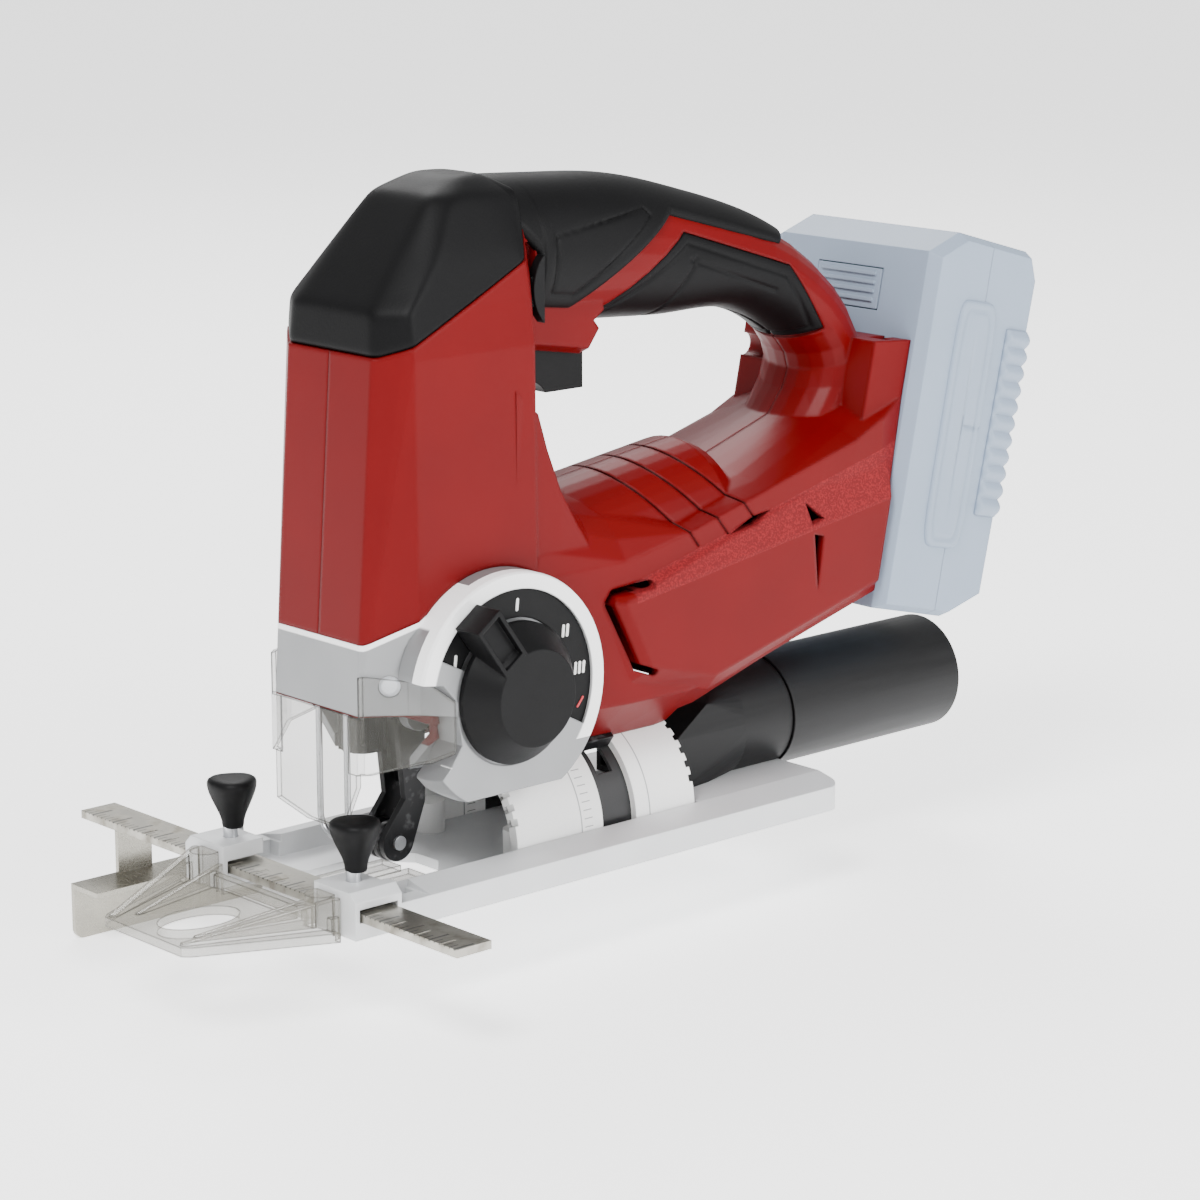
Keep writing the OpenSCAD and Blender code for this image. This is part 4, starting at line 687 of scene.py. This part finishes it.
def crossing(inside, low, high, steps=40):
    """Where a function that is above 0 at low and below 0 at high passes 0, found by halving."""
    for _ in range(steps):
        middle = (low + high) / 2
        keep = inside(middle) > 0
        low, high = np.where(keep, middle, low), np.where(keep, high, middle)
    return (low + high) / 2


def surface_normals(grid):
    """Unit normals of a grid of points, from the differences along its rows and columns."""
    normal = np.cross(np.gradient(grid, axis=1), np.gradient(grid, axis=0))
    return normal / np.maximum(np.linalg.norm(normal, axis=-1, keepdims=True), 1e-9)


def thicken(obj, depth):
    """Makes an open sheet a closed wall of the given depth, inwards."""
    modifier = obj.modifiers.new("wall", "SOLIDIFY")
    modifier.thickness = depth * MM
    modifier.offset = -1
    return obj


# ---------------------------------------------------------------- places of the pieces, in millimetres

# Head sections from the sole up: height, front face x, chamfer end x, half width of the front face,
# half width, rear corner x, half width of the spine, spine x
HEAD = (
    (50, -74.2, -60.5, 17.5, 28, -19, 14, -10),
    (148, -67.3, -60.5, 17.5, 27, -19, 14, -10),
    (160, -66.4, -61, 16.7, 25.5, -19, 14, -10),
    (172, -56, -50, 16, 23, -19, 14, -10),
    (188, -43, -38, 13, 16, -24, 14, -14),
    (192.6, -33, -31, 8, 10, -26, 8, -21),
)

# How far a soft cover's border is rolled in
ROLL = 0.9

# Soft cap: its lower edge in the side view, the point that its skin is worked out from, the width of its
# rolled border as a share of the way up, and its wall
CAP_EDGE = ((-90, 148.4), (-66, 148.4), (-60.5, 151.2), (-18.8, 170.2), (-14.5, 178), (-14.3, 230))
CAP_MIDDLE = (-38.0, 0.0, 158.0)
CAP_BORDER = 0.03
CAP_WALL = 1.5

# How sharp the cap's edges are, as the power of the mean that blends its planes: at its lower edge and on top
CAP_SHARP, CAP_TOP_SHARP = 110.0, 60.0

# Handle from the head back and down: x, z, lean in degrees, half height
HANDLE = ((-26, 170.5, 0, 19.5), (0, 168.8, 0, 20), (26, 167.3, 6, 19.6), (50, 163.8, 12, 17.6),
          (80, 158, 29, 13.6), (103.5, 144.5, 54, 11.8), (114, 128, 73, 10.6), (107, 111, 84, 13.4))
HANDLE_HALF_WIDTH = 17.5

# Stations worked out between two rows of HANDLE
STEPS_PER_ROW = 60

# Soft covers of the handle: where the top one starts and ends, where the lower ones start, and the row of
# HANDLE up to which they run
TOP_START, TOP_END = -17.0, 100.0
LOW_START, LOW_LAST_ROW = 15.6, 5.22

# The lower covers leave room for the trigger: in front of this x they stop at this distance from the middle
TRIGGER_NOTCH = (20.2, 10.8)

# Covers: wall, how far they stand out of the handle, depth and half width of a groove, and the angle from the
# seam at which the lower ones stop
COVER_WALL, COVER_RISE = 1.4, 0.12
GROOVE_DEPTH, GROOVE_HALF = 0.5, 0.5
SEAM_ANGLE = 0.006

# Edges of the handle's soft covers in the side view, and the grooves pressed into them
TOP_EDGE = ((-20, 178), (-14.5, 178), (-8, 171), (-7, 156.5), (5, 155), (13, 160), (42, 177.5), (86, 165.5),
            (110, 172))
LOW_EDGE = ((15, 149.5), (46, 171.5), (87.5, 158.5), (103, 138.5), (106, 130))
TOP_GROOVES = (((-4, 159.5), (4, 158.2), (10, 162), (33, 176.5), (31, 178.6), (-3.5, 174.4), (-4, 159.5)),)
LOW_GROOVES = (((18, 149.2), (46.8, 168.4), (85.6, 155.6), (99, 139.2), (91, 133.6)),
               ((47.6, 163.6), (82.6, 151.6)), ((50, 164), (41.5, 147)))

# Thumb knob: profile from the foot up, as height and radius in shares of the whole, and how far a lobe
# stands out, as a share of the radius
KNOB_PROFILE = ((0, 0.3), (0, 0.42), (0.05, 0.45), (0.12, 0.46), (0.25, 0.54), (0.4, 0.68), (0.55, 0.82),
                (0.7, 0.94), (0.8, 0.99), (0.88, 1), (0.94, 0.96), (0.98, 0.84), (1, 0.62), (1, 0.02))
KNOB_LOBE = 0.07

# Marks of the dial: angle round it in degrees, distance from its middle, number of strokes, finish. The mark
# without strokes is a slanting bar
DIAL_MARKS = ((150, 23, 1, "mark_white"), (86, 23.6, 1, "mark_white"), (36, 23.2, 2, "mark_white"),
              (6, 24, 3, "mark_white"), (-17, 24.4, 0, "mark_red"))

# Step between two strokes, height of the bar, and how far a stroke and the bar lean over for each mm up
STROKE_STEP, BAR_HEIGHT = 1.5, 3.0
STROKE_SLANT, BAR_SLANT = 0.12, 0.9

# Battery: the dock's corner and how far it leans back in degrees, then the case in the dock's own side view:
# foot and top of its back, its half width, and the chamfer of its rear corners along and across
DOCK_X, DOCK_Z, DOCK_LEAN = 111.0, 63.0, 12.0
PACK_BACK = ((45.0, -1.0), (47.0, 96.0))
PACK_HALF_WIDTH = 34.0
PACK_CHAMFER = (2.0, 4.0)
PACK_WALL = 0.6

# Ridged band: how far it runs round on the battery's sides, its foot and its height
BAND_REACH, BAND_FOOT, BAND_HEIGHT = 11.0, 24.0, 56.0

# Side panels of the battery: middle, half length and half height, and how far they are raised
PANEL_X, PANEL_Z, PANEL_HALF_X, PANEL_HALF_Z, PANEL_RISE = 21.5, 50.0, 8.5, 37.0, 1.3


def in_dock(x, y, z):
    """Points given along, across and up the battery's dock, as points of the machine: turned by the dock's
    lean and moved to its corner."""
    lean = math.radians(DOCK_LEAN)
    return np.stack(np.broadcast_arrays(DOCK_X + x * math.cos(lean) + z * math.sin(lean), y,
                                        DOCK_Z - x * math.sin(lean) + z * math.cos(lean)), -1)


def head_planes():
    """Planes of the head: through any three of its corners that have all the others behind them."""
    corners = []
    for z, front, side, face, wide, rear, spine, back in HEAD:
        for x, y in ((front, face), (side, wide), (rear, wide), (back, spine)):
            corners += [(x, y, z), (x, -y, z)]
    corners = np.array(corners, float)
    a, b, c = np.array([(i, j, k) for i in range(len(corners)) for j in range(i) for k in range(j)]).T
    normal = np.cross(corners[b] - corners[a], corners[c] - corners[a])
    size = np.linalg.norm(normal, axis=1)
    keep = size > 1.0
    normal, a = normal[keep] / size[keep, None], a[keep]
    reach = (normal * corners[a]).sum(1)
    beyond = corners @ normal.T - reach
    outer, inner = (beyond < 1e-6).all(0), (beyond > -1e-6).all(0)
    planes = np.concatenate([np.c_[normal, reach][outer], -np.c_[normal, reach][inner]])
    return np.unique(planes.round(4), axis=0)


# ---------------------------------------------------------------- studio

# In metres, millimetres of lens and watts
CAMERA_PLACE = (-0.6367, -0.7316, 0.2980)
CAMERA_WAY = (0.6552, 0.7201, -0.2284)
LENS, SENSOR = 106.65, 36

# Lamps: name, place, side of the lamp, power. They look at LAMP_TARGET
LAMPS = (("key", (-1.0, -0.5, 1.4), 0.6, 34), ("side", (0.5, -1.5, 0.8), 0.9, 27),
         ("rim", (0.6, 1.0, 1.2), 0.8, 16))
LAMP_TARGET = (0, 0, 0.08)

# Strength of the world as a light, and as the camera sees it
SKY_LIGHT, SKY_SEEN = 0.62, 4.0


# ---------------------------------------------------------------- operators


class JIGSAW_OT_stage(bpy.types.Operator):
    """Camera, pale floor and soft light"""

    bl_idname = "jigsaw.stage"
    bl_label = "Stage"

    def execute(self, context):
        camera = bpy.data.cameras.new("camera")
        camera.lens = LENS
        camera.sensor_width = SENSOR
        context.scene.camera = self.aim("camera", camera, CAMERA_PLACE, Vector(CAMERA_WAY))
        self.floor()
        self.sky()
        for name, place, size, power in LAMPS:
            light = bpy.data.lights.new(name, "AREA")
            light.size = size
            light.energy = power
            self.aim(name, light, place, Vector(LAMP_TARGET) - Vector(place))
        return {"FINISHED"}

    def aim(self, name, data, place, way):
        """Puts a camera or a lamp at a place, looking along a way."""
        obj = bpy.data.objects.new(name, data)
        obj.location = place
        obj.rotation_euler = way.to_track_quat("-Z", "Y").to_euler()
        bpy.context.scene.collection.objects.link(obj)
        return obj

    def floor(self):
        """Level square under the machine's lowest point."""
        half = sizes().floor_size / 2 / MM
        step = np.linspace(-half, half, 3)
        grid = np.stack(np.broadcast_arrays(step[None, :], step[:, None], CAD_BOX[0][2] / MM), -1)
        floor_paper()
        floor = coat(sheet_mesh("floor", grid, wrap=False), "floor_paper")

    def sky(self):
        """White world, brighter where the camera sees it than where it lights the machine."""
        world = bpy.data.worlds.new("studio")
        world.use_nodes = True
        nodes = Nodes(world.node_tree)
        seen = nodes.node("LightPath", {}, out="Is Camera Ray")
        strength = nodes.node("MapRange", {}, seen, to_min=SKY_LIGHT, to_max=SKY_SEEN)
        nodes.fill(world.node_tree.nodes["Background"], color=(1.0, 1.0, 1.0), strength=strength)
        bpy.context.scene.world = world


class JIGSAW_OT_finishes(bpy.types.Operator):
    """Materials of every part of the machine"""

    bl_idname = "jigsaw.finishes"
    bl_label = "Finishes"

    def execute(self, context):
        make_finishes()
        for finish, nodes in FINISHED_NODES.items():
            for node in nodes:
                coat(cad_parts[node], finish)
        return {"FINISHED"}


class JIGSAW_OT_thumb_knobs(bpy.types.Operator):
    """Thumb knobs of the guide clamps"""

    bl_idname = "jigsaw.thumb_knobs"
    bl_label = "Thumb knobs"

    def execute(self, context):
        for side in ("left", "right"):
            low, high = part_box("knob_" + side)
            self.knob(side, (low + high) / 2 / MM, low.z / MM, high.z / MM)
        return {"FINISHED"}

    def knob(self, side, middle, foot, top):
        """Turned profile with soft lobes: radius R(t) * (1 + k(t) cos(lobes * angle)), where R grows from the
        narrow foot to a wide shoulder and closes over a low dome, and k grows with it."""
        turn = ring(48)[None, :]
        t, reach = np.array(KNOB_PROFILE).T[:, :, None]
        lobe = KNOB_LOBE * np.clip(t * 1.6, 0, 1) * np.cos(sizes().knob_lobes * turn)
        radius = sizes().knob_radius * reach * (1 + lobe) / (1 + KNOB_LOBE)
        x, y = middle.x + radius * np.cos(turn), middle.y + radius * np.sin(turn)
        grid = np.stack(np.broadcast_arrays(x, y, foot + (top - foot) * t), -1)
        knob = coat(sheet_mesh("thumb_knob_" + side, grid, cap=True), "black_plastic")
        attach(knob, "thumb_" + side)
        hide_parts("knob_" + side)


class JIGSAW_OT_soft_cap(bpy.types.Operator):
    """Soft cap over the top of the head, with rounded edges"""

    bl_idname = "jigsaw.soft_cap"
    bl_label = "Soft cap"

    def execute(self, context):
        planes = head_planes()
        middle = np.array(CAP_MIDDLE)
        height = planes[:, 3] - planes[:, :3] @ middle
        edge_x, edge_z = np.array(CAP_EDGE).T
        turn = ring(240)

        def skin(rise, power):
            """Point of the skin at each turn, at an angle of rise above the level. Along a way w from the
            middle the plane with normal n and height h is met at h / (n w), and the skin lies at the power
            mean of these distances."""
            way = np.stack([np.cos(turn) * np.cos(rise), np.sin(turn) * np.cos(rise), np.sin(rise)], -1)
            share = np.maximum(way @ planes[:, :3].T / height, 0)
            reach = (share ** power[..., None]).sum(-1) ** (-1 / power)
            return middle + way * reach[..., None]

        def below(rise):
            """How far the skin lies below the cap's edge line."""
            spot = skin(rise, np.array(CAP_SHARP))
            return np.interp(spot[:, 0], edge_x, edge_z) - spot[:, 2]

        start = crossing(below, np.full(len(turn), -0.6), np.full(len(turn), 1.5))
        t = edged(70, CAP_BORDER)[:-1, None]
        power = CAP_SHARP + (CAP_TOP_SHARP - CAP_SHARP) * np.minimum(1, t * 4)
        rows = skin(start + (math.pi / 2 - start) * t, power)
        inwards = middle - rows
        inwards /= np.linalg.norm(inwards, axis=-1, keepdims=True)
        rows += inwards * (ROLL * (1 - quarter_round(t, CAP_BORDER)))[..., None]
        pole = skin(np.full(len(turn), math.pi / 2), np.array(CAP_TOP_SHARP))[:1]
        grid = np.concatenate([rows, np.repeat(pole[None], len(turn), 1)])
        cap = thicken(coat(sheet_mesh("soft_cap", grid), "soft_cover"), CAP_WALL)
        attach(cap, "housing")
        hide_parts("head_cap")
        return {"FINISHED"}


class JIGSAW_OT_soft_grips(bpy.types.Operator):
    """Soft covers of the handle, with rolled edges and pressed grooves"""

    bl_idname = "jigsaw.soft_grips"
    bl_label = "Soft grips"

    def execute(self, context):
        stations = smooth_stations(HANDLE, STEPS_PER_ROW)
        x, z, lean, half = stations.T
        lean = np.radians(lean)
        edge_x, edge_z = np.array(TOP_EDGE).T
        top_gap = z + half * np.cos(lean) - np.interp(x + half * np.sin(lean), edge_x, edge_z)
        top = (x > TOP_START) & (top_gap > 0.05) & (x < TOP_END)
        self.cover("handle_grip_top", stations[top], TOP_EDGE, TOP_GROOVES, 0)
        low = (x > LOW_START) & (np.arange(len(x)) <= STEPS_PER_ROW * LOW_LAST_ROW)
        self.cover("handle_grip_left", stations[low], LOW_EDGE, LOW_GROOVES, -1)
        self.cover("handle_grip_right", stations[low], LOW_EDGE, LOW_GROOVES, 1)
        return {"FINISHED"}

    def cover(self, node, stations, edge, grooves, side):
        """Part of the handle's skin. At each station the skin is the oval
        (x + h cos(a) sin(lean), w sin(a), z + h cos(a) cos(lean)). The cover runs from the angle where it
        crosses the edge line over the top to the other side (side 0), or down to the seam or the notch under
        the handle (side -1 or 1). Its border is rolled in by a quarter round, and grooves are pressed in."""
        x, z, lean, half = (stations[:, k:k + 1] for k in range(4))
        lean = np.radians(lean)
        edge_x, edge_z = np.array(edge).T

        def above(angle):
            """How far the skin lies above the edge line."""
            up = half * np.cos(angle)
            return z + up * np.cos(lean) - np.interp(x + up * np.sin(lean), edge_x, edge_z)

        start = crossing(above, np.zeros_like(x), np.full_like(x, math.pi))
        across = edged(120 if side == 0 else 90)[None, :]
        notch_x, notch_y = TRIGGER_NOTCH
        shut = math.pi - np.where(x < notch_x, math.asin(notch_y / HANDLE_HALF_WIDTH), SEAM_ANGLE)
        if side == 0:
            angle = start * (2 * across - 1)
            girth = half * start * 2
        else:
            angle = side * (start + (shut - start) * across)
            girth = half * (shut - start)
        up = half * np.cos(angle)
        grid = np.stack([x + up * np.sin(lean), HANDLE_HALF_WIDTH * np.sin(angle), z + up * np.cos(lean)], -1)
        normal = surface_normals(grid)
        normal *= np.sign((normal * (grid - np.stack([x, 0 * x, z], -1))).sum(-1, keepdims=True))
        travel = np.cumsum(np.r_[0, np.linalg.norm(np.diff(stations[:, :2], axis=0), axis=1)])[:, None]
        border = np.minimum(np.minimum(travel, travel[-1] - travel), np.minimum(across, 1 - across) * girth)
        press = ROLL * (1 - quarter_round(border, ROLL))
        for line in grooves:
            gap = line_gap(grid[..., 0], grid[..., 2], line)
            press = press + GROOVE_DEPTH * np.exp(-(gap / GROOVE_HALF) ** 2)
        grid = grid + normal * (COVER_RISE - press)[..., None]
        piece = sheet_mesh("soft_" + node, grid if side <= 0 else grid[:, ::-1], wrap=False)
        coat(thicken(piece, COVER_WALL), "soft_cover")
        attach(piece, "housing")
        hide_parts(node)


class JIGSAW_OT_dial_marks(bpy.types.Operator):
    """Raised strokes on the black part of the pendulum dial"""

    bl_idname = "jigsaw.dial_marks"
    bl_label = "Dial marks"

    def execute(self, context):
        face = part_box("dial_plate")[0].y / MM
        for turn, reach, count, finish in DIAL_MARKS:
            x = DIAL_X + reach * math.cos(math.radians(turn))
            z = DIAL_Z + reach * math.sin(math.radians(turn))
            tall, slant = (sizes().mark_height, STROKE_SLANT) if count else (BAR_HEIGHT, BAR_SLANT)
            for k in range(max(count, 1)):
                grid = self.stroke(x + (k - (count - 1) / 2) * STROKE_STEP, face, z, tall, slant)
                mark = coat(sheet_mesh(f"dial_mark_{turn % 360}_{k}", grid, cap=True), finish)
                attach(mark, "housing")
        return {"FINISHED"}

    def stroke(self, x, y, z, tall, slant):
        """Low bar with round ends: at each height t its outline is a circle of radius
        0.5 sqrt(1 - t ** 4 / 2) whose upper and lower halves are drawn apart and shifted by the slant."""
        turn = ring(24)[None, :]
        t = np.array([0, 0.5, 0.8, 0.95, 1.0])[:, None]
        radius = 0.5 * np.sqrt(1.0 - 0.5 * t ** 4)
        lift = (tall / 2 - 0.5) * np.sign(np.sin(turn))
        u = radius * np.cos(turn) + lift * slant
        v = radius * np.sin(turn) + lift
        return np.stack(np.broadcast_arrays(x + u, y + 0.02 - 0.22 * t, z + v), -1)


class JIGSAW_OT_pack_details(bpy.types.Operator):
    """Finger ridges down the back of the battery and raised panels on its sides"""

    bl_idname = "jigsaw.pack_details"
    bl_label = "Battery details"

    def execute(self, context):
        self.ridges()
        self.panel(-1, "pack_panel_left")
        self.panel(1, "pack_panel_right")
        return {"FINISHED"}

    def add(self, name, grid):
        """Makes a piece of the battery: the skin of a grid of points, with a wall."""
        piece = coat(sheet_mesh(name, grid, wrap=False), "pack_casing")
        thicken(piece, PACK_WALL)
        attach(piece, "battery")

    def ridges(self):
        """Corrugated band round the back and both rear corners. Its path in plan follows the case, rounded by
        a running mean. The skin stands off along the path's normal by fall * (0.3 + depth * wave) - 0.15,
        where wave = ((1 - cos(2 pi n v)) / 2) ** 0.7 and fall drops to nothing at the ends of the path."""
        count = sizes().pack_ridges
        (x0, z0), (x1, z1) = PACK_BACK
        wide, (cut_x, cut_y) = PACK_HALF_WIDTH, PACK_CHAMFER
        half = ((0, wide - cut_y), (-cut_x, wide), (-BAND_REACH, wide))
        corners = np.array([(x, -y) for x, y in half[::-1]] + list(half))
        far = np.r_[0, np.cumsum(np.linalg.norm(np.diff(corners, axis=0), axis=1))]
        u = edged(150, 0.02)
        spread = np.linspace(-1.2, 1.2, 7)[:, None]
        x, y = (np.interp(u * far[-1] + spread, far, corners[:, k]).mean(0) for k in range(2))
        way = np.stack([np.gradient(y), -np.gradient(x)])
        nx, ny = way / np.linalg.norm(way, axis=0)
        v = np.linspace(0, 1, count * 14 + 1)[:, None]
        z = BAND_FOOT + BAND_HEIGHT * v
        wave = ((1 - np.cos(2 * math.pi * count * v)) / 2) ** 0.7
        rise = quarter_round(np.minimum(u, 1 - u), 0.02) * (0.3 + sizes().ridge_depth * wave) - 0.15
        back = x0 + (x1 - x0) * (z - z0) / (z1 - z0)
        self.add("pack_ridges", in_dock(back + x + rise * nx, y + rise * ny, z)[:, ::-1])

    def panel(self, side, name):
        """Long raised field with rolled edges: a rounded rectangle |u| ** 7 + |v| ** 7 = 1 in polar steps t.
        Its height follows a quarter circle over the last 1.2 mm, with one line pressed in near its border."""
        turn = ring(96)
        turn = np.append(turn, turn[0])[None, :]
        t = np.r_[np.linspace(0.02, 0.8, 8), np.linspace(0.81, 0.97, 30), np.linspace(0.972, 1, 10)][:, None]
        power = 7.0
        reach = (np.abs(np.cos(turn)) ** power + np.abs(np.sin(turn)) ** power) ** (-1 / power)
        inset = (1 - t) * PANEL_HALF_X
        rise = PANEL_RISE * quarter_round(inset, 1.2)
        press = 0.7 * np.exp(-((inset - 2.8) / 0.4) ** 2)
        x = PANEL_X + t * reach * PANEL_HALF_X * np.cos(turn)
        tall = PANEL_HALF_Z - PANEL_HALF_X + t * PANEL_HALF_X
        z = PANEL_Z + tall * reach * np.sin(turn) * np.where(t < 0.05, 0.1, 1)
        grid = in_dock(x, side * (PACK_HALF_WIDTH - 0.2 + rise - press), z)
        self.add(name, grid if side > 0 else grid[:, ::-1])


class JIGSAW_PT_panel(bpy.types.Panel):
    """Sizes, colours and the steps that build the jigsaw"""

    bl_idname = "JIGSAW_PT_panel"
    bl_label = "Jigsaw"
    bl_space_type = "VIEW_3D"
    bl_region_type = "UI"
    bl_category = "Jigsaw"

    def draw(self, context):
        for group in (context.scene.jigsaw_sizes, context.scene.jigsaw_colours):
            for key in group.__annotations__:
                self.layout.prop(group, key)
        for step in STEPS:
            self.layout.operator(step.bl_idname)


STEPS = (JIGSAW_OT_stage, JIGSAW_OT_finishes, JIGSAW_OT_thumb_knobs, JIGSAW_OT_soft_cap, JIGSAW_OT_soft_grips,
         JIGSAW_OT_dial_marks, JIGSAW_OT_pack_details)
CLASSES = (JigsawSizes, JigsawColours, *STEPS, JIGSAW_PT_panel)


def register():
    """Makes the classes known and gives the scene its sizes and colours."""
    for cls in CLASSES:
        bpy.utils.register_class(cls)
    bpy.types.Scene.jigsaw_sizes = PointerProperty(type=JigsawSizes)
    bpy.types.Scene.jigsaw_colours = PointerProperty(type=JigsawColours)


def unregister():
    """Takes back what register did."""
    del bpy.types.Scene.jigsaw_sizes, bpy.types.Scene.jigsaw_colours
    for cls in reversed(CLASSES):
        bpy.utils.unregister_class(cls)


def main():
    """Builds the machine."""
    register()
    bpy.ops.jigsaw.stage()
    bpy.ops.jigsaw.finishes()
    bpy.ops.jigsaw.thumb_knobs()
    bpy.ops.jigsaw.soft_cap()
    bpy.ops.jigsaw.soft_grips()
    bpy.ops.jigsaw.dial_marks()
    bpy.ops.jigsaw.pack_details()


if __name__ == "__main__":
    main()
